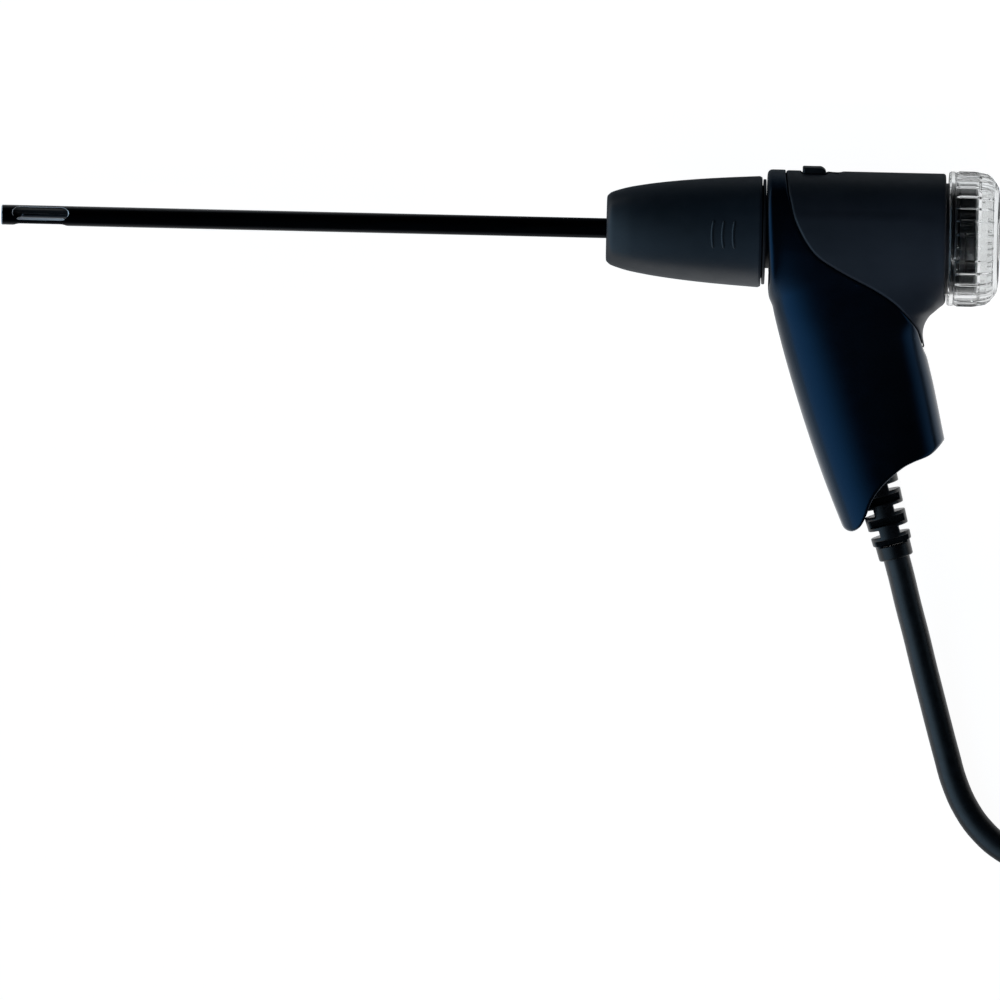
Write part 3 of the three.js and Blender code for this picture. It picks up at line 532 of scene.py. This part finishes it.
def tube_form(y, z, radius):
    return np.hypot(y - AXIS_DROP, z) - radius


def handle_form(x, y, z, radius):
    barrel = rmax(tube_form(y, z, radius), x - BARREL_BACK, 0.7)
    collar_front = hermite(GRIP_FRONT, y) - x
    barrel = rmax(barrel, collar_front, 1.5)
    grip = rmax(grip_form(x, y, z), y - 6.0, 1.0)
    return rmin(barrel, grip, 2.4)


def hollow_form(x, y, z, posts=0.0):
    bore = tube_form(y, z, BARREL_BORE)
    grip = rmax(grip_form(x, y, z) + WALL, y - 6.0 + WALL, 0.5)
    form = rmin(bore, grip, 1.0)
    if posts:
        for px, py in SCREWS:
            form = rmax(form, posts - np.hypot(x - px, y - py), 0.6)
    return form


def tongue(form):
    """How far a seam is stepped at a depth: the inner half of one wall reaches under the other."""
    return 1.2 * np.clip((-form - 1.0) / 0.2, 0, 1)


def thumb_dip(x, y, z):
    out = np.hypot(y - 21.4, z)
    rise = (out - 5.6 * (x - 8) / 13) / math.hypot(1, 5.6 / 13)
    end = (out - 5.6 + 2.8 * (x - 21)) / math.hypot(1, 2.8)
    return rmax(rise, end, 1.2)


def barrel_shell(x, y, z):
    form = handle_form(x, y, z, BARREL_RADIUS)
    form = rmax(form, SEAM_GAP - left_of(SEAM_LINE, x, y) - tongue(form), 0.7)
    form = rmax(form, -hollow_form(x, y, z), 0.4)
    form = rmax(form, -block(x, y, z, (9.7, 17.3), (10, 30), (-4.8, 4.8), 0.8), 0.35)
    return rmax(form, -thumb_dip(x, y, z), 0.5)


def grip_shell(side):
    def field(x, y, z):
        form = handle_form(x, y, z, COLLAR_RADIUS)
        step = tongue(form)
        form = rmax(form, left_of(SEAM_LINE, x, y) + step, 0.35)
        form = rmax(form, left_of(FOOT_LINE, x, y), 0.8)
        form = rmax(form, 0.12 - side * (z + step), 0.2)
        form = rmax(form, -hollow_form(x, y, z, 2.9 if side > 0 else 3.6), 0.4)
        for px, py in SCREWS:
            out = np.hypot(x - px, y - py)
            bore = rmax(out - 1.55, side * z - 9.5) if side > 0 else out - 1.55
            form = rmax(form, -bore, 0.1)
            if side < 0:
                form = rmax(form, -rmax(out - 2.7, z + 10.3), 0.3)
        return form
    return field


points, faces = net(barrel_shell, (-1, -42, -20), (54, 20, 20), 0.42)
add_piece("barrel", on_bench(points), faces, "barrel_plastic", "handle", ["barrel_shell"])
for side, label in ((1, "left"), (-1, "right")):
    low, high = (-1.2, 20.0) if side > 0 else (-20.0, 0.0)
    points, faces = net(grip_shell(side), (-1, -90, low), (56, 20, high), 0.42)
    add_piece(f"grip_{label}", on_bench(points), faces, "grip_plastic", "handle", [f"grip_shell_{label}"])


def button_form(x, y, z):
    crown = np.hypot(y + 13.0, z) - 33.1
    form = rmax(block(x, y, z, (10, 17), (17.7, 22), (-4.5, 4.5), 0.5), crown, 0.45)
    dish = np.hypot(np.hypot(y - 33.2, z * 0.8), (x - 12.8) * 0.9) - 13.4
    form = rmax(form, -dish, 0.3)
    bevel = ((y - 20.4) * 2.1 + (x - 15.2) * 1.8) / math.hypot(2.1, 1.8)
    form = rmax(form, bevel, 0.35)
    stem = block(x, y, z, (13.5, 15.0), (16.2, 18.5), (-2.4, 2.4), 0.1)
    return np.minimum(form, stem)


points, faces = net(button_form, (10, 16, -4.6), (17, 20.4, 4.6), 0.16)
add_piece("button", on_bench(points), faces, "black_plastic", "latch", ["latch_button"])


def add_spring():
    """The latch's return spring, as one fixed coil."""
    centre, low, high, radius, wire, turns = 11.5, 13.1, 17.4, 1.2, 0.25, 3.5
    steps, around = 84, 10
    t = np.linspace(0, 1, steps + 1)
    a = t * turns * 2 * math.pi
    rise = low + wire + (high - low - 2 * wire) * t
    middle = np.stack([centre + radius * np.cos(a), rise, radius * np.sin(a)], 1)
    way = np.gradient(middle, axis=0)
    way /= np.linalg.norm(way, axis=1, keepdims=True)
    out = np.stack([np.cos(a), 0 * a, np.sin(a)], 1)
    up = np.cross(way, out)
    b = np.arange(around) * 2 * math.pi / around
    circle = np.cos(b)[None, :, None] * out[:, None] + np.sin(b)[None, :, None] * up[:, None]
    points = on_bench((middle[:, None] + wire * circle).reshape(-1, 3))
    faces = grid(steps + 1, around)
    faces += [list(range(around))[::-1], list(range(steps * around, (steps + 1) * around))]
    spring = add_piece("spring", points, faces, "screw_steel", "handle", ["latch_spring"])
    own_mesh(spring)


add_spring()

# ---------------------------------------------------------------- turned pieces


def fillet(profile, radius, steps=4):
    """Rounds the corners of a closed profile."""
    p = [np.array(q, float) for q in profile]
    out = []
    for i, at in enumerate(p):
        before, after = p[i - 1] - at, p[(i + 1) % len(p)] - at
        lb, la = np.linalg.norm(before), np.linalg.norm(after)
        cosine = np.clip(before @ after / (lb * la), -1, 1)
        if cosine < -0.985:
            out.append(at)
            continue
        half = math.acos(cosine) / 2
        reach = min(radius / math.tan(half), 0.45 * min(lb, la))
        a, b = at + before / lb * reach, at + after / la * reach
        for t in np.linspace(0, 1, steps + 1):
            out.append((1 - t) ** 2 * a + 2 * t * (1 - t) * at + t * t * b)
    return out


def turn(profile, sides=160, drop=0.0, shape=None):
    """A closed profile of (x, radius) turned about the shaft's axis, or the barrel's with AXIS_DROP."""
    profile = np.array(profile, float)
    rows, angles = len(profile), np.arange(sides) * 2 * math.pi / sides
    x = np.repeat(profile[:, 0], sides)
    r = np.repeat(profile[:, 1], sides)
    a = np.tile(angles, rows)
    if shape is not None:
        r = shape(x, r, a)
    points = np.stack([x, r * np.sin(a) + drop, r * np.cos(a)], 1)
    return points, grid(rows, sides, closed=True)


def add_turned(name, profile, slot, body, replaces=(), rounding=0.2, sides=160, drop=0.0):
    points, faces = turn(fillet(profile, rounding), sides, drop)
    return add_piece(name, on_bench(points), faces, slot, body, replaces, weighted=True)


CONE_PROFILE = [
    [-48.5, 9.6], [-47.9, 10.3], [-46.7, 11.1], [-42.9, 12.3], [-39.4, 13.05], [-34.0, 13.95], [-26.8, 14.85],
    [-19.6, 15.55], [-12.4, 16.1], [-2.8, 16.7],
]


def add_cone():
    """The cone, and three bowed finger ribs on its side."""
    outer = spline_through(CONE_PROFILE, 6).tolist()
    inner = [[x, r - 2.0] for x, r in CONE_PROFILE[3:]][::-1]
    profile = (
        [[-48.5, 4.6], [-48.5, 8.9]] + outer[1:] + [[-2.0, 16.35], [-2.0, 14.7]] + inner
        + [[-44.5, 9.6], [-44.5, 6.4], [-38.0, 6.4], [-38.0, 4.6]]
    )
    points, faces = turn(fillet(profile, 0.35), 192)
    add_piece("cone", on_bench(points), faces, "cone_plastic", "module", ["cone_shell"], weighted=True)
    place, radius = np.array(CONE_PROFILE).T
    half_height, half_width, bow, proud = 4.3, 0.45, 0.5, 0.4
    rows, around = 33, 16
    for number, at in enumerate((-16.9, -13.8, -10.6)):
        t = np.linspace(-1, 1, rows)[:, None]
        a = np.linspace(0, 2 * math.pi, around, endpoint=False)[None, :]
        taper = np.sqrt(np.clip(1 - t ** 8, 0.0, 1))
        x = at + half_width - bow * (1 - t * t) + half_width * taper * np.cos(a)
        y = half_height * t + 0 * a
        base = np.interp(x, place, radius)
        lift = base + proud * taper * np.sin(a)
        z = np.sqrt(lift ** 2 - y ** 2)
        points = on_bench(np.stack([x, y, z], -1).reshape(-1, 3))
        add_piece(f"cone_rib_{number + 1}", points, grid(rows, around), "cone_plastic", "module")


add_cone()

add_turned("spigot", [
    [-37.0, 3.3], [-37.0, 6.0], [-8.0, 6.0], [-8.0, 13.9], [-1.7, 13.9], [-1.7, 15.8], [-0.8, 15.8],
    [-0.8, 10.9], [5.0, 10.9], [5.0, 9.5], [7.0, 9.5], [7.0, 10.9], [12.8, 10.9], [12.8, 9.4], [16.6, 9.4],
    [16.6, 10.9], [18.4, 10.9], [18.4, 9.5], [20.4, 9.5], [20.4, 10.9], [22.0, 10.1], [22.0, 3.3],
], "black_plastic", "module", ["module_spigot"], 0.25)
add_turned("gland", [[-48.2, 3.2], [-48.2, 4.3], [-40, 4.3], [-40, 3.2]], "seal_rubber", "module",
           ["shaft_gland"], 0.35, 96)
for name, at in (("spigot_seal_front", 6.0), ("spigot_seal_back", 19.4)):
    ring = [(at + 0.65 * math.cos(a), 10.45 + 0.65 * math.sin(a)) for a in np.arange(16) * math.pi / 8]
    add_turned(name + "_ring", ring, "seal_rubber", "module", [name], 0.0, 128)


def add_shaft():
    """The gas tube: a drawn tube with a closed tip and two long windows cut through its wall."""
    tip, back, radius, bore = -230.1, 17.0, 3.0, 2.4
    profile = fillet([
        [tip, 0.02], [tip, 2.55], [tip + 0.12, 2.85], [tip + 0.4, radius], [-228.8, radius], [-208, radius],
        [-200, radius], [back, radius], [back, bore], [-200, bore], [-208, bore], [-227.2, bore],
        [-227.2, 0.02],
    ], 0.12, 3)
    points, faces = turn(profile, 144)
    shaft = add_piece("shaft", on_bench(points), faces, "shaft_steel", "module", ["probe_shaft"], 35)
    half, front, end, bevel = 2.15, -226.6, -210.0, 0.4
    levels = ((0.6, 0.0), (2.7, 0.0), (3.1, bevel), (5.0, bevel))
    arc = np.linspace(0.5 * math.pi, 1.5 * math.pi, 15)
    outline = [(front + half + half * math.cos(a), half * math.sin(a)) for a in arc]
    outline += [(end - half - half * math.cos(a), -half * math.sin(a)) for a in arc]
    count = len(outline)
    cutters = []
    for i, lean in enumerate((math.radians(-20), math.radians(100))):
        c, s = math.cos(lean), math.sin(lean)
        loops = []
        for z, grow in levels:
            for x, y in outline:
                out = Vector((x - np.clip(x, front + half, end - half), y)).normalized() * grow
                gx, gy = x + out.x, y + out.y
                loops.append((gx, gy * c - z * s, gy * s + z * c))
        quads = grid(len(levels), count) + [list(range(count))[::-1], list(range(3 * count, 4 * count))]
        mesh = bpy.data.meshes.new("window_cutter")
        mesh.from_pydata(on_bench(loops).tolist(), [], quads)
        tidy = bmesh.new()
        tidy.from_mesh(mesh)
        bmesh.ops.recalc_face_normals(tidy, faces=tidy.faces)
        tidy.to_mesh(mesh)
        tidy.free()
        cutter = bpy.data.objects.new("window_cutter", mesh)
        bpy.context.collection.objects.link(cutter)
        cutters.append(cutter)
        modifier = shaft.modifiers.new(f"window_{i}", "BOOLEAN")
        modifier.operation = "DIFFERENCE"
        modifier.solver = "EXACT"
        modifier.object = cutter
    graph = bpy.context.evaluated_depsgraph_get()
    made = bpy.data.meshes.new_from_object(shaft.evaluated_get(graph))
    shaft.modifiers.clear()
    shaft.data = made
    made.polygons.foreach_set("use_smooth", [True] * len(made.polygons))
    made.set_sharp_from_angle(angle=math.radians(35))
    for cutter in cutters:
        bpy.data.objects.remove(cutter)
    shaft.modifiers.new("normals", "WEIGHTED_NORMAL").keep_sharp = True


add_shaft()
add_turned("thermocouple_rod", [
    [-224.2, 0.02], [-224.2, 0.35], [-223.9, 0.62], [-223.5, 0.75], [20.5, 0.75], [20.5, 0.02],
], "sheath_steel", "module", ["thermocouple"], 0.12, 48)

# ---------------------------------------------------------------- filter chamber


def seat_form(x, y, z):
    out = np.hypot(y - AXIS_DROP, z)
    around = np.degrees(np.arctan2(y - AXIS_DROP, z))
    outer = rmax(out - 16.6, x - 61.9, 0.4)
    outer = rmin(outer, rmax(out - 16.9, x - 50.4, 0.3), 0.2)
    outer = rmax(outer, 44.0 - x, 0.3)
    inner = rmax(out - 14.4, 49.0 - x, 0.5)
    form = rmax(outer, -inner, 0.35)
    form = rmax(form, -(out - 2.2), 0.3)
    groove = rmax(slab(x, 55.4, 57.2), 15.3 - out)
    form = rmax(form, -groove, 0.12)
    for i in range(3):
        middle = 120.0 * i - 12.5
        off = np.abs((around - middle + 180.0) % 360.0 - 180.0)
        notch = np.maximum(slab(x, 58.9, 64.0), np.radians(off - 19.5) * 15.5)
        form = rmax(form, -notch, 0.2)
    liner = rmax(rmax(out - 14.55, 13.9 - out), slab(x, 48.5, 61.9), 0.1)
    return np.minimum(form, liner)


points, faces = net(seat_form, (44, -18, -17), (62, 17, 17), 0.3)
add_piece("seat", on_bench(points), faces, "black_plastic", "handle", ["filter_seat"])
ring = [(56.3 + 0.6 * math.cos(a), 16.35 + 0.6 * math.sin(a)) for a in np.arange(16) * math.pi / 8]
add_turned("cap_seal_ring", ring, "seal_rubber", "handle", ["cap_seal"], 0.0, 160, AXIS_DROP)
add_turned("filter_pad", [[53.0, 0.02], [53.0, 13.6], [61.4, 13.6], [62.4, 12.6], [62.4, 0.02]],
           "filter_felt", "filter", ["filter_disc"], 0.6, 128, AXIS_DROP)
add_turned("filter_cage", [[49.4, 10.0], [49.4, 13.9], [52.6, 13.9], [52.6, 3.0], [51.2, 3.0], [51.2, 10.0]],
           "black_plastic", "filter", ["filter_holder"], 0.3, 128, AXIS_DROP)


def add_cap():
    """The clear cap: thick walls, axial ridges round the outside and a rounded shoulder."""
    outside = fillet([
        [54.0, 17.2], [54.0, 19.8], [54.5, 20.2], [55.7, 20.2], [56.0, 19.75], [61.6, 19.75], [63.2, 19.5],
        [65.5, 19.1], [67.0, 18.4], [68.2, 17.1], [69.0, 15.7], [69.3, 14.0], [69.3, 9.0], [69.0, 8.6],
        [69.0, 0.02], [67.2, 0.02], [67.2, 14.0], [66.4, 15.6], [63.4, 16.4], [62.6, 17.2],
    ], 0.3, 3)
    dense = []
    for a, b in zip(outside, outside[1:] + outside[:1]):
        steps = max(1, int(np.linalg.norm(b - a) / 0.8))
        dense += [a + (b - a) * k / steps for k in range(steps)]

    def ridges(x, r, a):
        spacing, phase, height = 12.0, 4.1, 0.55
        span = np.clip((x - 56.0) / 0.4, 0, 1) * np.clip((67.6 - x) / 2.0, 0, 1) * (r > 17.6)
        turns = (np.degrees(a) + phase) / spacing
        off = np.abs((turns + 0.5) % 1.0 - 0.5) * 4.2
        return r + span * height * np.where(off < 0.6, 0.5 + 0.5 * np.cos(math.pi * off / 0.6), 0.0)

    points, faces = turn(dense, 960, AXIS_DROP, ridges)
    add_piece("cap", on_bench(points), faces, "clear_plastic", "cap", ["filter_cap"], 50)


add_cap()

# ---------------------------------------------------------------- strain relief


def boot_frame(points):
    """From the boot's own frame, u out along the hose, to the probe's."""
    u, v, w = np.asarray(points, float).T
    back = BOOT_END - BOOT_WAY * BOOT_LENGTH
    across = np.array([-BOOT_WAY[1], BOOT_WAY[0]])
    x, y = [back[i] + u * BOOT_WAY[i] + v * across[i] for i in (0, 1)]
    return np.stack([x, y, w], 1)


def boot_form(u, v, w):
    """A tapered body with slots cut in turn from front and back and from the sides, round a gas channel."""
    out = np.hypot(v, w)
    collar, pitch, cut, web = BOOT_LENGTH - 4.2, 6.5, 2.1, 3.1
    body = rmax(out - (6.8 - 0.9 * (u - 4.6) / (collar - 4.6)), slab(u, 4.6, collar - 0.5), 0.5)
    body = rmin(body, rmax(out - (5.3 - 0.02 * (u - collar)), slab(u, collar - 1, BOOT_LENGTH), 0.6), 0.15)
    body = rmin(body, rmax(out - 8.2, slab(u, 0.0, 2.2), 0.3), 0.2)
    body = rmin(body, rmax(out - 5.2, slab(u, 0.5, 8.0)), 0.2)
    for k in range(3):
        at = collar - k * pitch
        body = rmax(body, -np.maximum(slab(u, at - cut, at), web - np.abs(w)), 0.3)
        at -= pitch / 2
        body = rmax(body, -np.maximum(slab(u, at - cut, at), web - np.abs(v)), 0.3)
    body = rmax(body, 1.9 - out, 0.15)
    return rmax(body, -rmax(out - 4.3, BOOT_LENGTH - 4.3 - u), 0.15)


points, faces = net(boot_form, (0, -8.3, -8.3), (33, 8.3, 8.3), 0.24)
add_piece("boot", on_bench(boot_frame(points)), faces, "boot_rubber", "handle", ["strain_boot"])

# ---------------------------------------------------------------- screws


def screw_form(x, y, z):
    out = np.hypot(x, y)
    head = rmax(out - 2.4, slab(z, -12.4, -10.6), 0.25)
    helix = 0.2 * np.cos(2 * math.pi * z - np.arctan2(y, x))
    thread = rmax(out - (1.05 + helix), slab(z, -11, 8.5), 0.2)
    form = np.minimum(head, thread)
    for a, b in ((x, y), (y, x)):
        form = rmax(form, -rmax(rmax(np.abs(a) - 1.6, np.abs(b) - 0.3), z + 11.5), 0.05)
    return form


points, faces = net(screw_form, (-2.5, -2.5, -12.5), (2.5, 2.5, 8.6), 0.14)
for number, (px, py) in enumerate(SCREWS):
    add_piece(f"screw_{number + 1}", on_bench(points + [px, py, 0]), faces, "screw_steel", "handle",
              [f"grip_screw_{number + 1}"])

# ---------------------------------------------------------------- plug and tie, on the bench


def plug_frame(points):
    u, v, w = np.asarray(points, float).T
    return np.stack([PLUG[0] - v, PLUG[1] + u, PLUG[2] + w], 1) * MM


def plug_body(u, v, w):
    out = np.hypot(v, w)
    form = rmax(out - 12.6, slab(u, 14.3, 34.0), 0.8)
    form = rmax(form, (out - 9.0 - (u - 14.3) * 3.6 / 3.2) / 1.5, 0.8)
    waist = np.hypot(out - 19.6, (u - 24.0) * 0.8) - 8.2
    form = rmax(form, -waist, 0.6)
    form = rmin(form, rmax(out - 9.6, slab(u, 30.0, 44.0), 0.4), 0.3)
    for side in (4.4, -4.4):
        form = rmax(form, -rmax(np.hypot(v - side, w) - 2.6, 41.0 - u, 0.2), 0.15)
    return rmax(form, -rmax(rmax(np.abs(v) - 1.2, np.abs(w) - 4.6, 0.3), 41.5 - u), 0.15)


def plug_ring(u, v, w):
    out = np.hypot(v, w)
    around = np.arctan2(v, w)
    flutes = np.cos(24 * around) * np.clip(np.minimum(u - 35.4, 41.8 - u) * 1.5, 0, 1)
    outer = out - 13.75 - 0.42 * flutes
    return rmax(rmax(outer, slab(u, 34.4, 42.8), 0.5), 10.0 - out, 0.3)


def plug_boot(u, v, w):
    out = np.hypot(v, w)
    body = rmax((out - 5.3 - u * 2.3 / 14) / 1.02, slab(u, 0, 14), 0.5)
    for at in (3.2, 6.0, 8.8, 11.6):
        body = rmax(body, -(np.hypot(u - at, (out - 6.3 - at * 2.3 / 14) * 0.9) - 1.0), 0.25)
    return rmax(body, 4.3 - out, 0.2)


def plug_port(u, v, w):
    out = np.hypot(v, w)
    nipple = rmax(out - 2.2, slab(u, 41.3, 48.2), 0.4)
    return rmax(nipple, 1.0 - out, 0.12)


for name, form, low, high, step, slot, body, node in (
    ("plug_handle", plug_body, (14, -13, -13), (44, 13, 13), 0.3, "black_plastic", "handle", "plug_body"),
    ("plug_lock_ring", plug_ring, (34, -14.5, -14.5), (43, 14.5, 14.5), 0.26, "barrel_plastic", "lock_ring",
     "plug_ring"),
    ("plug_strain_relief", plug_boot, (0, -8, -8), (14, 8, 8), 0.24, "boot_rubber", "handle", "plug_boot"),
):
    points, faces = net(form, low, high, step)
    add_piece(name, plug_frame(points), faces, slot, body, [node])
for side, node in ((4.4, "plug_gas_port"), (-4.4, "plug_draft_port")):
    points, faces = net(plug_port, (41, -2.4, -2.4), (48.4, 2.4, 2.4), 0.14)
    add_piece(node + "_nipple", plug_frame(points + [0, side, 0]), faces, "brass", "handle",
                                [node])


def add_tie():
    """A rubber strap round the coil's section."""
    inner, outer, low, high, thick, half = 28.45, 61.65, 0.6, 17.2, 0.8, 5.0
    corner, turned, lowest, path = 3.0, math.radians(-60), 0.02, []
    centres = [(outer - corner, low + corner, -90), (outer - corner, high - corner, 0),
               (inner + corner, high - corner, 90), (inner + corner, low + corner, 180)]
    for cx, cz, start in centres:
        for a in np.radians(start + np.linspace(0, 90, 9)):
            path.append((cx, cz, math.cos(a), math.sin(a)))
    section = [(corner, -half), (corner + thick, -half), (corner + thick, half), (corner, half)]
    section = fillet(section, 0.3, 3)
    c, s = math.cos(turned), math.sin(turned)
    rows = []
    for cx, cz, nx, nz in path:
        for out, side in section:
            r, z = cx + nx * out, cz + nz * out
            rows.append((COIL["x"] + r * c - side * s, COIL["y"] + r * s + side * c, max(z, lowest)))
    faces = grid(len(path), len(section), closed=True)
    return add_piece("tie", np.array(rows) * MM, faces, "seal_rubber", "handle", ["coil_tie"], 40)


tie = add_tie()

# ---------------------------------------------------------------- kept CAD nodes

KEPT = {
    "thermocouple_guide": "sheath_steel", "thermocouple_head": "black_plastic", "contact_pin_1": "brass",
    "contact_pin_2": "brass", "socket_sleeve": "black_plastic", "contact_block": "black_plastic",
    "gas_block": "black_plastic", "probe_board": "board", "board_socket": "black_plastic",
    "gas_tube": "silicone", "draft_tube": "silicone", "probe_lead": "seal_rubber",
    "handle_lead": "seal_rubber", "grip_floor": "black_plastic", "hose_barb": "brass",
    "latch_ring": "black_plastic", "plug_contacts": "brass",
}
for name, finish in KEPT.items():
    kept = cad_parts[name]
    kept.data.materials.clear()
    kept.data.materials.append(FINISHES[finish].material)

# ---------------------------------------------------------------- bench, light
# The bench's glow is made of ramps: a direction, where each starts and ends along it in metres, and its
# values there. FLOOR_FADE has no direction, as it runs outwards from FLOOR_CENTRE.

FLOOR_WHITE = 0.97
FLOOR_CENTRE = (0.095, -0.01, 0.0)
FLOOR_NEAR = ((0.3, -1.0, 0.0), -0.04, 0.07, 0.06, 0.9)
FLOOR_FADE = (0.06, 0.20, 1.0, 0.08)
FLOOR_LEFT = ((-1.0, -0.3, 0.0), -0.06, 0.06, 0.0, 0.75)
ROOM = 0.002
WALLS = [
    ((-1.0, -0.22, 0.10), 79, 1.35, (0.50, 0.76, 1.0)),
    ((1.0, -0.15, -0.05), 42, 0.6, (0.55, 0.78, 1.0)),
]


def node(tree, kind, **values):
    made = tree.nodes.new("ShaderNode" + kind)
    for name, value in values.items():
        setattr(made, name, value)
    return made


def smooth_ramp(tree, value, start, end, low, high):
    made = node(tree, "MapRange", interpolation_type="SMOOTHSTEP")
    for name, limit in (("From Min", start), ("From Max", end), ("To Min", low), ("To Max", high)):
        made.inputs[name].default_value = limit
    tree.links.new(value, made.inputs["Value"])
    return made.outputs["Result"]


def ramp_along(tree, source, toward, start, end, low, high):
    """Rises smoothly from low to high as a vector's reach along a direction goes from start to end."""
    lean = node(tree, "VectorMath", operation="DOT_PRODUCT")
    lean.inputs[1].default_value = Vector(toward).normalized()
    tree.links.new(source, lean.inputs[0])
    return smooth_ramp(tree, lean.outputs["Value"], start, end, low, high)


def combine(tree, operation, a, b):
    made = node(tree, "Math", operation=operation)
    tree.links.new(a, made.inputs[0])
    tree.links.new(b, made.inputs[1])
    return made.outputs["Value"]


def add_floor():
    """A pale bench, white to the eye; in the probe's gloss it glows round the handle and out to the left."""
    reach = 3.0
    mesh = bpy.data.meshes.new("bench")
    mesh.from_pydata([(-reach, -reach, 0), (reach, -reach, 0), (reach, reach, 0), (-reach, reach, 0)], [],
                     [(0, 1, 2, 3)])
    floor = bpy.data.objects.new("bench", mesh)
    bpy.context.collection.objects.link(floor)
    material = bpy.data.materials.new("bench")
    material.use_nodes = True
    tree = material.node_tree
    shader = tree.nodes["Principled BSDF"]
    shader.inputs["Base Color"].default_value = (0.25, 0.25, 0.25, 1)
    shader.inputs["Roughness"].default_value = 0.9
    shader.inputs["Specular IOR Level"].default_value = 0.0
    shader.inputs["Emission Color"].default_value = (1, 1, 1, 1)
    place = node(tree, "TexCoord").outputs["Object"]
    away = node(tree, "VectorMath", operation="DISTANCE")
    away.inputs[1].default_value = FLOOR_CENTRE
    tree.links.new(place, away.inputs[0])
    near = combine(tree, "MULTIPLY", ramp_along(tree, place, *FLOOR_NEAR),
                   smooth_ramp(tree, away.outputs["Value"], *FLOOR_FADE))
    glow = combine(tree, "MAXIMUM", near, ramp_along(tree, place, *FLOOR_LEFT))
    path = node(tree, "LightPath")
    seen = combine(tree, "MAXIMUM", path.outputs["Is Camera Ray"], path.outputs["Is Transmission Ray"])
    mix = node(tree, "Mix")
    tree.links.new(seen, mix.inputs["Factor"])
    tree.links.new(glow, mix.inputs["A"])
    mix.inputs["B"].default_value = FLOOR_WHITE
    tree.links.new(mix.outputs["Result"], shader.inputs["Emission Strength"])
    mesh.materials.append(material)


def add_spot(name, place, target, degrees, radius, power, colour):
    """A soft spot that lights surfaces but does not show in their gloss."""
    data = bpy.data.lights.new(name, "SPOT")
    data.spot_size = math.radians(degrees)
    data.spot_blend = 1.0
    data.shadow_soft_size = radius
    data.energy = power
    data.color = colour
    light = bpy.data.objects.new(name, data)
    light.location = place
    light.rotation_euler = (Vector(target) - Vector(place)).to_track_quat("-Z", "Y").to_euler()
    light.visible_glossy = False
    bpy.context.collection.objects.link(light)


def add_studio():
    """A dark room with soft bright walls: each is a direction, an angular reach, a strength and a colour."""
    world = bpy.data.worlds.new("studio")
    bpy.context.scene.world = world
    world.use_nodes = True
    tree = world.node_tree
    way = node(tree, "TexCoord").outputs["Generated"]
    shader = tree.nodes["Background"]
    shader.inputs["Color"].default_value = (0.6, 0.8, 1.0, 1)
    shader.inputs["Strength"].default_value = ROOM
    total = shader.outputs["Background"]
    for toward, reach, strength, colour in WALLS:
        wall = node(tree, "Background")
        wall.inputs["Color"].default_value = (*colour, 1)
        glow = ramp_along(tree, way, toward, math.cos(math.radians(reach)), 1.0, 0.0, strength)
        tree.links.new(glow, wall.inputs["Strength"])
        add = node(tree, "AddShader")
        tree.links.new(total, add.inputs[0])
        tree.links.new(wall.outputs["Background"], add.inputs[1])
        total = add.outputs["Shader"]
    tree.links.new(total, tree.nodes["World Output"].inputs["Surface"])


add_floor()
add_studio()
add_spot("barrel_fill", (0.22, -0.45, 0.60), (0.139, 0.030, 0.04), 8.5, 0.06, 38.0, (0.9, 0.95, 1.0))
add_spot("tip_fill", (-0.22, -0.25, 0.45), (-0.139, 0.037, 0.02), 4.0, 0.05, 14.0, (0.95, 0.97, 1.0))
add_spot("cone_fill", (-0.10, -0.62, 0.24), (0.050, 0.030, 0.02), 12.0, 0.06, 5.0, (0.9, 0.95, 1.0))

bpy.context.scene.view_settings.view_transform = "Standard"
bpy.context.scene.cycles.use_denoising = True
